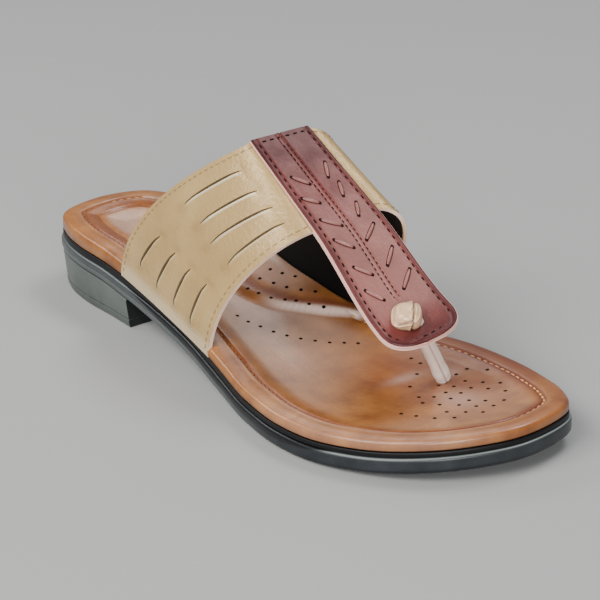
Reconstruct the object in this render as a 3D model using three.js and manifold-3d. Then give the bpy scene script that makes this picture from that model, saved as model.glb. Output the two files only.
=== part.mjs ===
// Flat thong sandal for the right foot, standing on its sole.
// Millimetres, +Z up. While it is built, x runs from the back of the heel to the toe, y from the
// lateral side (negative) to the medial side (positive), and the floor is z = 0.

import * as THREE from "three";
import { mergeVertices } from "three/addons/utils/BufferGeometryUtils.js";
import Module from "manifold-3d";

const wasm = await Module();
wasm.setup();

// Sizes of the last
const soleLength = 255;
const ballWidth = 95;
const heelWidth = 62;
const instepHeight = 87;
const heelRise = 15;
const toeSpring = 4.9;

// Stacked sole: outsole and midsole thin out between the heel and the ball
const outsoleThickness = { heel: 6.5, ball: 6 };
const midsoleThickness = { heel: 2.8, ball: 1.7 };
const thinningAt = { from: 0.15, to: 0.65 };
const treadBevel = 2.2;
const outsoleRounding = 1.2;
const midsoleStep = 0.8;
const midsoleBevel = 0.4;
const topLiftThickness = 3;
const heelBreastAt = 65;
const heelInset = { floor: 1.6, seat: 0.3 };

// Footbed relief
const insoleInset = 0.95;
const rimHeight = 4;
const rimWidth = 1.9;
const crownSink = 0.4;
const grooveInset = 9.4;
const grooveHalfWidth = 0.9;
const grooveDepth = 0.9;
const dishDepth = 2.6;
const dishReach = 15;
const archPadHeight = 4.2;
const archPadStep = { share: 0.35, width: 2.2 };
const archPadSlope = 26;

// Upper, strap, post and knot
const bandWall = 2.2;
const backingWall = 1.8;
const backingDepth = 0.2;
const overlayWall = 1.2;
const overlayMargin = 0.8;
const strapHalfWidth = 15.2;
const strapTipLength = 13;
const slitWidth = 1.3;
const postRadius = 2.9;
const knotRadius = 6.2;
const knotHeight = 6.6;

// Clearances
const gap = 0.3;
const postGap = 0.35;

// Outline of the sole. at: share of the length. lateral, medial: distance from the centre line as a
// share of the local width, which goes over from the heel width to the ball width.
const outlineRows = [
  { at: 0.02, lateral: 0.335, medial: 0.284 },
  { at: 0.06, lateral: 0.43, medial: 0.409 },
  { at: 0.12, lateral: 0.483, medial: 0.483 },
  { at: 0.2, lateral: 0.495, medial: 0.496 },
  { at: 0.3, lateral: 0.487, medial: 0.426 },
  { at: 0.42, lateral: 0.45, medial: 0.332 },
  { at: 0.54, lateral: 0.452, medial: 0.339 },
  { at: 0.64, lateral: 0.495, medial: 0.401 },
  { at: 0.72, lateral: 0.526, medial: 0.454 },
  { at: 0.8, lateral: 0.506, medial: 0.467 },
  { at: 0.88, lateral: 0.419, medial: 0.433 },
  { at: 0.94, lateral: 0.294, medial: 0.373 },
  { at: 0.98, lateral: 0.138, medial: 0.288 },
];
const widthBlend = { from: 0.2, to: 0.64 };
const tipOffset = 0.039;

// Underside of the outsole: heel and toe are shares of the heel rise and of the toe spring.
const pitchRows = [
  { at: 0, heel: 1.02, toe: 0 },
  { at: 0.15, heel: 0.96, toe: 0 },
  { at: 0.28, heel: 0.75, toe: 0 },
  { at: 0.45, heel: 0.37, toe: 0 },
  { at: 0.56, heel: 0.09, toe: 0 },
  { at: 0.63, heel: 0, toe: 0 },
  { at: 0.77, heel: 0, toe: 0 },
  { at: 0.86, heel: 0, toe: 0.2 },
  { at: 0.94, heel: 0, toe: 0.63 },
  { at: 1, heel: 0, toe: 1 },
];

// How deep the footbed is dished along its length, as a share of the dish depth.
const dishRows = [
  { at: 0, dish: 0.6 },
  { at: 0.14, dish: 1 },
  { at: 0.34, dish: 0.6 },
  { at: 0.5, dish: 0.4 },
  { at: 0.7, dish: 0.3 },
  { at: 0.85, dish: 0.25 },
  { at: 1, dish: 0.2 },
];

// Lower edge of the arch pad: share of the length, and offset from the centre line as a share of
// the ball width. amount: how much of the pad's height stands there.
const archRows = [
  { at: 0.27, edge: 0.25, amount: 0 },
  { at: 0.33, edge: 0.06, amount: 0.8 },
  { at: 0.38, edge: -0.007, amount: 1 },
  { at: 0.445, edge: 0.002, amount: 1 },
  { at: 0.5, edge: 0.072, amount: 1 },
  { at: 0.55, edge: 0.165, amount: 0.8 },
  { at: 0.61, edge: 0.3, amount: 0 },
];

// Edges of the instep band: one curve a side, from the foot at the sole's edge up to the corner where
// the strap's level seat begins. footAt, cornerAt: shares of the length. cornerSide: share of the ball
// width. cornerHeight: share of the instep height. rise and reach are the lengths of the curve's
// handles at the foot and at the corner, as shares of its height and of its width. lean and splay tilt
// the lower handle forwards and outwards, skew and drop the upper one forwards and downwards.
const bandRows = [
  {
    edge: "rear", side: "lateral", footAt: 0.2424, cornerAt: 0.481, cornerSide: -0.122,
    cornerHeight: 0.985, rise: 0.54, lean: 0.13, splay: 0.03, reach: 0.36, skew: 0.2, drop: 0.26,
  },
  {
    edge: "rear", side: "medial", footAt: 0.2886, cornerAt: 0.488, cornerSide: 0.146,
    cornerHeight: 0.99, rise: 0.54, lean: 0.6, splay: 0.14, reach: 1.18, skew: 0.76, drop: 0.15,
  },
  {
    edge: "front", side: "lateral", footAt: 0.5082, cornerAt: 0.6204, cornerSide: -0.116,
    cornerHeight: 0.71, rise: 0.58, lean: 0.15, splay: 0, reach: 0.56, skew: 0.03, drop: 0.05,
  },
  {
    edge: "front", side: "medial", footAt: 0.531, cornerAt: 0.6282, cornerSide: 0.173,
    cornerHeight: 0.737, rise: 0.54, lean: 0.82, splay: 0.17, reach: 1.04, skew: 0.74, drop: -0.1,
  },
];

// Slits of the band. across: place between the rear (0) and the front edge (1) at both ends of the
// slit. from, to: its stretch of the side curve between the foot (0) and the strap's edge (1).
const slitRows = [
  { side: "lateral", from: 0.457, to: 0.8, acrossFrom: 0.186, acrossTo: 0.199 },
  { side: "lateral", from: 0.46, to: 0.818, acrossFrom: 0.406, acrossTo: 0.437 },
  { side: "lateral", from: 0.436, to: 0.845, acrossFrom: 0.595, acrossTo: 0.641 },
  { side: "lateral", from: 0.436, to: 0.852, acrossFrom: 0.822, acrossTo: 0.82 },
  { side: "lateral", from: 0.106, to: 0.285, acrossFrom: 0.193, acrossTo: 0.231 },
  { side: "lateral", from: 0.083, to: 0.287, acrossFrom: 0.401, acrossTo: 0.422 },
  { side: "lateral", from: 0.078, to: 0.287, acrossFrom: 0.601, acrossTo: 0.605 },
  { side: "lateral", from: 0.068, to: 0.295, acrossFrom: 0.791, acrossTo: 0.791 },
  { side: "medial", from: 0.345, to: 0.64, acrossFrom: 0.209, acrossTo: 0.25 },
  { side: "medial", from: 0.335, to: 0.662, acrossFrom: 0.388, acrossTo: 0.475 },
  { side: "medial", from: 0.338, to: 0.654, acrossFrom: 0.557, acrossTo: 0.665 },
  { side: "medial", from: 0.328, to: 0.655, acrossFrom: 0.765, acrossTo: 0.85 },
  { side: "medial", from: 0.074, to: 0.221, acrossFrom: 0.189, acrossTo: 0.207 },
  { side: "medial", from: 0.07, to: 0.189, acrossFrom: 0.413, acrossTo: 0.424 },
  { side: "medial", from: 0.059, to: 0.171, acrossFrom: 0.598, acrossTo: 0.585 },
  { side: "medial", from: 0.04, to: 0.173, acrossFrom: 0.82, acrossTo: 0.788 },
];

// Free end of the toe strap: its middle as shares of the length, the ball width and the instep height,
// how its end is turned forwards and rolled up on the medial side, and how steeply it still falls.
const strapEnd = { at: 0.8275, side: 0.007, height: 0.397 };
const strapEndTurn = { forward: 0.1, roll: 0.2 };
const strapEndDrop = 0.16;
const bandShareOfStrap = 0.42;

// Post: where it leaves the footbed and where it meets the strap, along the strap and across it.
const postFoot = { at: 0.7706, side: 0.174 };
const postTop = { along: 0.875, across: -0.2 };
const postBow = 2.5;

// Smooth curve through one column of a table that never runs past its rows.
function through(rows, column) {
  const at = rows.map((row) => row.at);
  const value = rows.map((row) => row[column]);
  const last = rows.length - 1;
  const rise = at.slice(1).map((a, i) => (value[i + 1] - value[i]) / (a - at[i]));
  const slope = at.map((a, i) => {
    if (i === 0) return rise[0];
    if (i === last) return rise[last - 1];
    const product = rise[i - 1] * rise[i];
    return product <= 0 ? 0 : (2 * product) / (rise[i - 1] + rise[i]);
  });
  return (share) => {
    const s = Math.min(Math.max(share, at[0]), at[last]);
    let i = 0;
    while (i < last - 1 && s > at[i + 1]) i += 1;
    const width = at[i + 1] - at[i];
    const t = (s - at[i]) / width;
    const start = value[i] * (1 + 2 * t) * (1 - t) ** 2 + slope[i] * width * t * (1 - t) ** 2;
    return start + value[i + 1] * t * t * (3 - 2 * t) + slope[i + 1] * width * t * t * (t - 1);
  };
}

function smoothStep(from, to, value) {
  return THREE.MathUtils.smoothstep(value, from, to);
}

function mix(a, b, t) {
  return a + (b - a) * t;
}

// Heights along the sole
const heelPitch = through(pitchRows, "heel");
const toePitch = through(pitchRows, "toe");

function undersideHeight(x) {
  const share = x / soleLength;
  return heelPitch(share) * heelRise + toePitch(share) * toeSpring;
}

function thicknessAt(thickness, x) {
  return mix(thickness.heel, thickness.ball, smoothStep(thinningAt.from, thinningAt.to, x / soleLength));
}

function outsoleTopHeight(x) {
  return undersideHeight(x) + thicknessAt(outsoleThickness, x);
}

function midsoleTopHeight(x) {
  return outsoleTopHeight(x) + gap + thicknessAt(midsoleThickness, x);
}

// Outline of the sole as one closed curve, from the heel along the lateral side and back
function localWidth(share) {
  return mix(heelWidth, ballWidth, smoothStep(widthBlend.from, widthBlend.to, share));
}

function outlinePoint(row, side) {
  return new THREE.Vector3(row.at * soleLength, side * localWidth(row.at), 0);
}

const outline = new THREE.CatmullRomCurve3(
  [
    new THREE.Vector3(0, 0, 0),
    ...outlineRows.map((row) => outlinePoint(row, -row.lateral)),
    new THREE.Vector3(soleLength, tipOffset * ballWidth, 0),
    ...[...outlineRows].reverse().map((row) => outlinePoint(row, row.medial)),
  ],
  true,
  "centripetal",
);

// Point of the outline moved inwards. station: 0 at the heel, 1 at the toe, on side "lateral" or "medial".
function edgePoint(station, side, inset) {
  const along = side === "lateral" ? station / 2 : 1 - station / 2;
  const point = outline.getPoint(along % 1);
  const tangent = outline.getTangent(along % 1);
  return new THREE.Vector2(point.x - tangent.y * inset, point.y + tangent.x * inset);
}

// Side position of the outline at a given distance from the heel.
function edgeAt(x, side) {
  let low = 0;
  let high = 1;
  for (let i = 0; i < 40; i += 1) {
    const middle = (low + high) / 2;
    if (edgePoint(middle, side, 0).x < x) low = middle;
    else high = middle;
  }
  return edgePoint((low + high) / 2, side, 0).y;
}

// Mesh of one closed body from points and triangles, with its faces turned outwards.
function closedGeometry(points, faces) {
  const positions = new Float32Array(points.flatMap((p) => [p.x, p.y, p.z]));
  const rough = new THREE.BufferGeometry();
  rough.setAttribute("position", new THREE.BufferAttribute(positions, 3));
  rough.setIndex(faces.flat());
  const merged = mergeVertices(rough, 1e-4);
  const index = merged.index.array;
  const at = merged.attributes.position;
  const kept = [];
  let volume = 0;
  const a = new THREE.Vector3();
  const b = new THREE.Vector3();
  const c = new THREE.Vector3();
  for (let i = 0; i < index.length; i += 3) {
    const [p, q, r] = [index[i], index[i + 1], index[i + 2]];
    if (p === q || q === r || r === p) continue;
    kept.push(p, q, r);
    a.fromBufferAttribute(at, p);
    b.fromBufferAttribute(at, q);
    c.fromBufferAttribute(at, r);
    volume += a.dot(b.cross(c));
  }
  merged.setIndex(volume < 0 ? kept.reverse() : kept);
  return merged;
}

function toManifold(geometry) {
  const plain = geometry.clone();
  plain.deleteAttribute("normal");
  plain.deleteAttribute("uv");
  const merged = mergeVertices(plain, 1e-4);
  return new wasm.Manifold(
    new wasm.Mesh({
      numProp: 3,
      vertProperties: new Float32Array(merged.attributes.position.array),
      triVerts: new Uint32Array(merged.index.array),
    }),
  );
}

function toGeometry(solid) {
  const mesh = solid.getMesh();
  const geometry = new THREE.BufferGeometry();
  geometry.setAttribute("position", new THREE.BufferAttribute(new Float32Array(mesh.vertProperties), 3));
  geometry.setIndex(new THREE.BufferAttribute(new Uint32Array(mesh.triVerts), 1));
  return geometry;
}

function boxSolid(low, high) {
  const box = new THREE.BoxGeometry(high.x - low.x, high.y - low.y, high.z - low.z);
  box.translate((low.x + high.x) / 2, (low.y + high.y) / 2, (low.z + high.z) / 2);
  return toManifold(box);
}

// Stations from heel to toe, closer together at both round ends
const stationCount = 40;
const endCrowding = 0.4;
const stations = Array.from({ length: stationCount + 1 }, (_, i) => {
  const even = i / stationCount;
  return mix(even, (1 - Math.cos(Math.PI * even)) / 2, endCrowding);
});

// Layer of the sole. wall: rows of inset and height from the underside up over the edge to the top, the
// same on both sides. between: further points of the top, from the lateral to the medial wall.
function layerGeometry(wall, between = () => []) {
  const loops = stations.map((station) => {
    const side = (name) => wall.map((row) => {
      const flat = edgePoint(station, name, row.inset);
      return new THREE.Vector3(flat.x, flat.y, row.height(flat.x, flat.y, row.inset));
    });
    const lateral = side("lateral");
    const medial = side("medial").reverse();
    return [...lateral, ...between(lateral[lateral.length - 1], medial[0]), ...medial];
  });
  const count = loops[0].length;
  const faces = [];
  for (let i = 0; i < stations.length - 1; i += 1) {
    for (let j = 0; j < count; j += 1) {
      const here = i * count + j;
      const beside = i * count + ((j + 1) % count);
      faces.push([here, beside, beside + count], [here, beside + count, here + count]);
    }
  }
  return closedGeometry(loops.flat(), faces);
}

// Inset of the innermost wall points, from where a layer runs straight across
const flatFrom = 12;

// Outsole: flat tread with a rounded lower edge, and a rounded upper edge beside the midsole
const outsole = layerGeometry([
  { inset: flatFrom, height: undersideHeight },
  { inset: 1.1 * treadBevel, height: undersideHeight },
  { inset: 0.4 * treadBevel, height: (x) => undersideHeight(x) + 0.2 * treadBevel },
  { inset: 0, height: (x) => undersideHeight(x) + treadBevel },
  { inset: 0, height: (x) => outsoleTopHeight(x) - outsoleRounding },
  { inset: 0.3 * outsoleRounding, height: (x) => outsoleTopHeight(x) - 0.3 * outsoleRounding },
  { inset: outsoleRounding, height: outsoleTopHeight },
  { inset: flatFrom, height: outsoleTopHeight },
]);

// Midsole: a strip a step narrower than the outsole
const midsoleBase = (x) => outsoleTopHeight(x) + gap;
const midsole = layerGeometry([
  { inset: flatFrom, height: midsoleBase },
  { inset: midsoleStep, height: midsoleBase },
  { inset: midsoleStep, height: (x) => midsoleTopHeight(x) - midsoleBevel },
  { inset: midsoleStep + midsoleBevel, height: midsoleTopHeight },
  { inset: flatFrom, height: midsoleTopHeight },
]);

// Heel block and top lift: the sole's outline, a little narrower at the floor, cut off flat at the breast
const heelHalfSpace = boxSolid(
  new THREE.Vector3(-soleLength, -ballWidth, -heelRise),
  new THREE.Vector3(heelBreastAt, ballWidth, instepHeight),
);

function heelSolid(base, top) {
  const insetAt = (z) => mix(heelInset.floor, heelInset.seat, z / heelRise);
  const wall = [
    { inset: flatFrom, height: () => base },
    { inset: insetAt(base), height: () => base },
    { inset: insetAt(top(heelBreastAt)), height: top },
    { inset: flatFrom, height: top },
  ];
  return toGeometry(toManifold(layerGeometry(wall)).intersect(heelHalfSpace));
}

const blockBase = topLiftThickness + gap;
const blockTop = (x) => Math.max(undersideHeight(x) - gap, blockBase + gap);
const topLift = heelSolid(0, () => topLiftThickness);
const heelBlock = heelSolid(blockBase, blockTop);

// Footbed relief. inset: distance from the sole's outline.
const dishAt = through(dishRows, "dish");
const archEdge = through(archRows, "edge");
const archAmount = through(archRows, "amount");
const dishFrom = grooveInset + 2 * grooveHalfWidth;
const rimFadeTo = grooveInset + 8 * grooveHalfWidth;
const insoleBase = (x) => midsoleTopHeight(x) + gap;

function archPad(x, y) {
  const share = x / soleLength;
  const beyond = y - archEdge(share) * ballWidth;
  const step = archPadStep.share * smoothStep(0, archPadStep.width, beyond);
  const slope = (1 - archPadStep.share) * smoothStep(0, archPadSlope, beyond);
  return archPadHeight * archAmount(share) * (step + slope);
}

function footbedHeight(x, y, inset) {
  const groove = grooveDepth * Math.max(0, 1 - Math.abs(inset - grooveInset) / grooveHalfWidth);
  const dish = dishDepth * dishAt(x / soleLength) * smoothStep(dishFrom, dishFrom + dishReach, inset);
  const fade = smoothStep(grooveInset + grooveHalfWidth, rimFadeTo, inset);
  return insoleBase(x) + rimHeight - crownSink * fade - groove - dish + archPad(x, y) * fade;
}

// Insole: rolled rim, groove and dish, with points across between the innermost wall points
const rolled = (share) => (x) => insoleBase(x) + share * rimHeight;
const reliefFrom = grooveInset + 4.5 * grooveHalfWidth;
const insoleWall = [
  { inset: insoleInset + 0.3 * rimWidth, height: rolled(0) },
  { inset: insoleInset, height: rolled(0.12) },
  { inset: insoleInset, height: rolled(0.62) },
  { inset: insoleInset + 0.3 * rimWidth, height: rolled(0.9) },
  { inset: insoleInset + rimWidth, height: rolled(1) },
  { inset: grooveInset - grooveHalfWidth, height: footbedHeight },
  { inset: grooveInset, height: footbedHeight },
  { inset: grooveInset + grooveHalfWidth, height: footbedHeight },
  { inset: reliefFrom, height: footbedHeight },
];
const acrossCount = 11;

function acrossFootbed(from, to) {
  const halfSpan = Math.hypot(to.x - from.x, to.y - from.y) / 2;
  return Array.from({ length: acrossCount }, (_, k) => {
    const t = (k + 1) / (acrossCount + 1);
    const x = mix(from.x, to.x, t);
    const y = mix(from.y, to.y, t);
    const inset = reliefFrom + halfSpan * (1 - Math.abs(2 * t - 1));
    return new THREE.Vector3(x, y, footbedHeight(x, y, inset));
  });
}

// Edge curve of the band on one side, from the foot at the sole's edge to the strap's corner
function bandEdge(row) {
  const x = row.footAt * soleLength;
  const outward = row.side === "lateral" ? -1 : 1;
  const foot = new THREE.Vector3(x, edgeAt(x, row.side) - outward * insoleInset, insoleBase(x));
  const corner = new THREE.Vector3(
    row.cornerAt * soleLength,
    row.cornerSide * ballWidth,
    row.cornerHeight * instepHeight,
  );
  const height = corner.z - foot.z;
  const width = Math.abs(corner.y - foot.y);
  const lower = new THREE.Vector3(row.lean, outward * row.splay, 1);
  const upper = new THREE.Vector3(row.skew, outward, -row.drop);
  return new THREE.CubicBezierCurve3(
    foot,
    foot.clone().addScaledVector(lower, row.rise * height),
    corner.clone().addScaledVector(upper, row.reach * width),
    corner,
  );
}

const bandEdges = {
  rear: { lateral: bandEdge(bandRows[0]), medial: bandEdge(bandRows[1]) },
  front: { lateral: bandEdge(bandRows[2]), medial: bandEdge(bandRows[3]) },
};

// Point of the band's side. t: 0 at the foot, 1 at the strap. along: 0 rear edge, 1 front edge.
function bandSide(side, t, along) {
  return bandEdges.rear[side].getPoint(t).lerp(bandEdges.front[side].getPoint(t), along);
}

// Point of the band's outer face. around: 0 at the lateral foot, 1 at the medial foot, with the strap's
// seat in between.
const seatFrom = 0.42;
const seatTo = 0.58;

function bandPoint(around, along) {
  if (around <= seatFrom) return bandSide("lateral", around / seatFrom, along);
  if (around >= seatTo) return bandSide("medial", (1 - around) / (1 - seatTo), along);
  const t = (around - seatFrom) / (seatTo - seatFrom);
  return bandSide("lateral", 1, along).lerp(bandSide("medial", 1, along), t);
}

// Closed sheet with a wall: the surface moved outwards by outer and inwards by inner along its normal.
function sheetGeometry(surface, uValues, vValues, outer, inner, settle = (point) => point) {
  const step = 1e-3;
  const normalAt = (u, v) => {
    const alongU = surface(u + step, v).sub(surface(u - step, v));
    const alongV = surface(u, v + step).sub(surface(u, v - step));
    return alongV.cross(alongU).normalize();
  };
  const points = [];
  uValues.forEach((u) => vValues.forEach((v) => {
    const point = surface(u, v);
    const normal = normalAt(u, v);
    points.push(
      settle(point.clone().addScaledVector(normal, outer)),
      settle(point.clone().addScaledVector(normal, -inner)),
    );
  }));
  const rows = uValues.length;
  const columns = vValues.length;
  const id = (i, j, face) => (i * columns + j) * 2 + face;
  const faces = [];
  const quad = (a, b, c, d) => faces.push([a, b, c], [a, c, d]);
  for (let i = 0; i < rows - 1; i += 1) {
    for (let j = 0; j < columns - 1; j += 1) {
      quad(id(i, j, 0), id(i + 1, j, 0), id(i + 1, j + 1, 0), id(i, j + 1, 0));
      quad(id(i, j, 1), id(i, j + 1, 1), id(i + 1, j + 1, 1), id(i + 1, j, 1));
    }
    quad(id(i, 0, 0), id(i, 0, 1), id(i + 1, 0, 1), id(i + 1, 0, 0));
    const end = columns - 1;
    quad(id(i, end, 0), id(i + 1, end, 0), id(i + 1, end, 1), id(i, end, 1));
  }
  for (let j = 0; j < columns - 1; j += 1) {
    quad(id(0, j, 0), id(0, j + 1, 0), id(0, j + 1, 1), id(0, j, 1));
    quad(id(rows - 1, j, 0), id(rows - 1, j, 1), id(rows - 1, j + 1, 1), id(rows - 1, j + 1, 0));
  }
  return closedGeometry(points, faces);
}

function evenly(from, to, count) {
  return Array.from({ length: count + 1 }, (_, i) => mix(from, to, i / count));
}

// Band wall, standing just above the midsole
function onMidsole(point) {
  point.z = Math.max(point.z, insoleBase(point.x));
  return point;
}
const sideSteps = 12;
const seatSteps = 2;
const bandSteps = 6;
const bandAround = [
  ...evenly(0, seatFrom, sideSteps).slice(0, -1),
  ...evenly(seatFrom, seatTo, seatSteps),
  ...evenly(seatTo, 1, sideSteps).slice(1),
];
const bandAlong = evenly(0, 1, bandSteps);
const band = toManifold(sheetGeometry(bandPoint, bandAround, bandAlong, 0, bandWall, onMidsole));

// Slits, each a thin cut through the wall along the side curve
const slitSteps = 4;

function slitCutter(row) {
  const middle = (row.from + row.to) / 2;
  const bandSpan = bandSide(row.side, middle, 0).distanceTo(bandSide(row.side, middle, 1));
  const half = slitWidth / 2 / bandSpan;
  const cut = (t, offset) => {
    const across = mix(row.acrossFrom, row.acrossTo, (t - row.from) / (row.to - row.from));
    return bandSide(row.side, t, across + offset);
  };
  const reach = bandWall + 1;
  return toManifold(sheetGeometry(cut, evenly(row.from, row.to, slitSteps), [-half, half], reach, reach));
}

// Toe strap's outer face. across: -1 lateral edge, 1 medial edge. along: 0 at the band's rear edge,
// bandShareOfStrap at its front edge, 1 at the free end, whose corners are rounded.
function strapOnBand(across, along) {
  return bandPoint(mix(seatFrom, seatTo, (across + 1) / 2), along);
}

function strapFreePart(across, t) {
  const start = strapOnBand(across, 1);
  const direction = start.clone().sub(strapOnBand(across, 0.8)).normalize();
  const turned = new THREE.Vector3(strapEndTurn.forward, 1, strapEndTurn.roll).normalize();
  const end = new THREE.Vector3(
    strapEnd.at * soleLength,
    strapEnd.side * ballWidth,
    strapEnd.height * instepHeight,
  ).addScaledVector(turned, across * strapHalfWidth);
  const length = start.distanceTo(end);
  const endDirection = new THREE.Vector3(1, 0, -strapEndDrop).normalize();
  const point = start.multiplyScalar((1 + 2 * t) * (1 - t) ** 2);
  point.addScaledVector(direction, length * t * (1 - t) ** 2);
  point.addScaledVector(end, t * t * (3 - 2 * t));
  point.addScaledVector(endDirection, length * t * t * (t - 1));
  return point;
}

const freeLength = strapFreePart(0, 0).distanceTo(strapFreePart(0, 1));
const tipFrom = 1 - ((1 - bandShareOfStrap) * strapTipLength) / freeLength;
const tipExponent = 2.6;
const tipBluntness = 0.985;

function tipRounding(along) {
  const into = Math.min(Math.max((along - tipFrom) / (1 - tipFrom), 0), tipBluntness);
  return (1 - into ** tipExponent) ** (1 / tipExponent);
}

function strapPoint(across, along, margin = 0) {
  const narrowed = across * (tipRounding(along) - margin / strapHalfWidth);
  if (along <= bandShareOfStrap) return strapOnBand(narrowed, along / bandShareOfStrap);
  return strapFreePart(narrowed, (along - bandShareOfStrap) / (1 - bandShareOfStrap));
}

const strapAcross = evenly(-1, 1, 6);
const tipShares = [0, 0.3, 0.55, 0.75, 0.9, 0.97, 1];
const tipRows = tipShares.map((t) => mix(tipFrom, 1, t));
const strapBody = evenly(bandShareOfStrap, tipFrom, 9).slice(0, -1);
const backingFrom = 0.6 * bandShareOfStrap;
const backingAlong = [...evenly(backingFrom, bandShareOfStrap, 2).slice(0, -1), ...strapBody, ...tipRows];
const overlayAlong = [...evenly(0, bandShareOfStrap, 3).slice(0, -1), ...strapBody, ...tipRows];

const backing = toManifold(
  sheetGeometry(
    (across, along) => strapPoint(across, along),
    strapAcross, backingAlong, -backingDepth, backingDepth + backingWall,
  ),
);
const overlayTop = gap + overlayWall;
const overlaySheet = toManifold(
  sheetGeometry(
    (across, along) => strapPoint(across, along, overlayMargin),
    strapAcross, overlayAlong, overlayTop, -gap,
  ),
);

// Post: a round thong from the footbed up through the strap, bowed a little towards the toe
const strapAtPost = strapPoint(postTop.across, postTop.along);
const strapUp = (() => {
  const step = 1e-3;
  const along = strapPoint(postTop.across, postTop.along + step)
    .sub(strapPoint(postTop.across, postTop.along - step));
  const across = strapPoint(postTop.across + step, postTop.along)
    .sub(strapPoint(postTop.across - step, postTop.along));
  return along.cross(across).normalize();
})();
const postHead = strapAtPost.clone().addScaledVector(strapUp, overlayTop);
const postBaseX = postFoot.at * soleLength;
const postBase = new THREE.Vector3(postBaseX, postFoot.side * ballWidth, insoleBase(postBaseX));

// Everything above the strap around the post, from a given height over the strap's top
function aboveStrap(height) {
  const reach = 6 * knotRadius;
  const block = new THREE.BoxGeometry(reach, reach, reach);
  block.translate(0, 0, reach / 2 + height);
  block.applyQuaternion(new THREE.Quaternion().setFromUnitVectors(new THREE.Vector3(0, 0, 1), strapUp));
  block.translate(postHead.x, postHead.y, postHead.z);
  return toManifold(block);
}

function postTube(radius) {
  const direction = postHead.clone().sub(postBase).normalize();
  const low = postBase.clone().addScaledVector(direction, -2 * postRadius);
  const high = postHead.clone().addScaledVector(strapUp, 2 * postRadius);
  const bowed = low.clone().lerp(high, 0.5).add(new THREE.Vector3(postBow, 0, 0));
  const path = new THREE.QuadraticBezierCurve3(low, bowed, high);
  const round = new THREE.Shape();
  round.absarc(0, 0, radius, 0, 2 * Math.PI);
  return toManifold(new THREE.ExtrudeGeometry(round, { extrudePath: path, steps: 8, curveSegments: 12 }));
}

const aboveMidsole = boxSolid(
  new THREE.Vector3(0, -ballWidth, postBase.z),
  new THREE.Vector3(soleLength, ballWidth, instepHeight),
);
const toePost = toGeometry(postTube(postRadius).intersect(aboveMidsole).subtract(aboveStrap(0)));
const postHole = postTube(postRadius + postGap);

// Knot: a bun of folded leather with curling lobes, sitting flat on the strap
const lobeCount = 4;
const lobeDepth = 0.1;
const lobeCurl = 1.4;
const knotWaist = 0.3;

function knotGeometry() {
  const bun = new THREE.SphereGeometry(1, 24, 12);
  const at = bun.attributes.position;
  const spot = new THREE.Vector3();
  for (let i = 0; i < at.count; i += 1) {
    spot.fromBufferAttribute(at, i);
    const turn = Math.atan2(spot.y, spot.x);
    const lift = spot.z;
    const fold = Math.abs(Math.sin((lobeCount * turn) / 2 + lobeCurl * lift));
    const swell = 1 - lobeDepth * (1 - fold) * (1 - lift * lift * lift * lift);
    spot.multiplyScalar(swell);
    const height = mix(spot.z, 1, knotWaist) * knotHeight;
    spot.set(spot.x * knotRadius, spot.y * knotRadius, height);
    at.setXYZ(i, spot.x, spot.y, spot.z);
  }
  bun.applyQuaternion(new THREE.Quaternion().setFromUnitVectors(new THREE.Vector3(0, 0, 1), strapUp));
  bun.translate(postHead.x, postHead.y, postHead.z);
  return toGeometry(toManifold(bun).intersect(aboveStrap(gap)));
}

// Upper: band and backing in one wall, with the slits and the post's hole cut
const slits = slitRows.map(slitCutter).reduce((all, slit) => all.add(slit));
const upper = toGeometry(band.add(backing).subtract(slits).subtract(postHole));
const strapOverlay = toGeometry(overlaySheet.subtract(postHole));

// Insole with the recess for the band's feet and the post's hole
const footOverrun = 0.02;
const edgeOverrun = 0.008;
const bandRecess = toManifold(
  sheetGeometry(
    bandPoint,
    [-footOverrun, ...bandAround, 1 + footOverrun],
    [-edgeOverrun, ...bandAlong, 1 + edgeOverrun],
    gap + insoleInset, bandWall + gap,
  ),
);
const footbed = toManifold(layerGeometry(insoleWall, acrossFootbed));
const insole = toGeometry(footbed.subtract(bandRecess).subtract(postHole));

// Finishes
function finish(color, roughness) {
  return new THREE.MeshStandardMaterial({ color, roughness, metalness: 0 });
}
const blackRubber = finish(0x1c1e21, 0.55);
const blackStrip = finish(0x15171a, 0.4);
const tanLeather = finish(0xa8632f, 0.35);
const beigeLeather = finish(0xb59d76, 0.5);
const maroonLeather = finish(0x6f3a35, 0.4);
const postLeather = finish(0xc79e86, 0.55);

const sandal = new THREE.Group();

function addPiece(name, geometry, material) {
  const mesh = new THREE.Mesh(geometry, material);
  mesh.name = name;
  sandal.add(mesh);
}

addPiece("outsole", outsole, blackRubber);
addPiece("midsole", midsole, blackStrip);
addPiece("heel_block", heelBlock, blackRubber);
addPiece("top_lift", topLift, blackRubber);
addPiece("insole", insole, tanLeather);
addPiece("upper", upper, beigeLeather);
addPiece("strap_overlay", strapOverlay, maroonLeather);
addPiece("toe_post", toePost, postLeather);
addPiece("knot", knotGeometry(), beigeLeather);

// The origin lies on the floor, under the middle of the whole shoe.
const bounds = new THREE.Box3().setFromObject(sandal);
const middle = bounds.getCenter(new THREE.Vector3());
sandal.position.set(-middle.x, -middle.y, -bounds.min.z);

export default sandal;
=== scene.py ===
"""Looks of the flat thong sandal, dressed over its CAD frame. Sizes in the sections are millimetres
of the shoe as it was drawn: x from the heel to the toe, y towards the inner side, z from the floor."""

import math

import bmesh
import bpy
import numpy as np
from mathutils import Matrix, Vector


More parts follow.
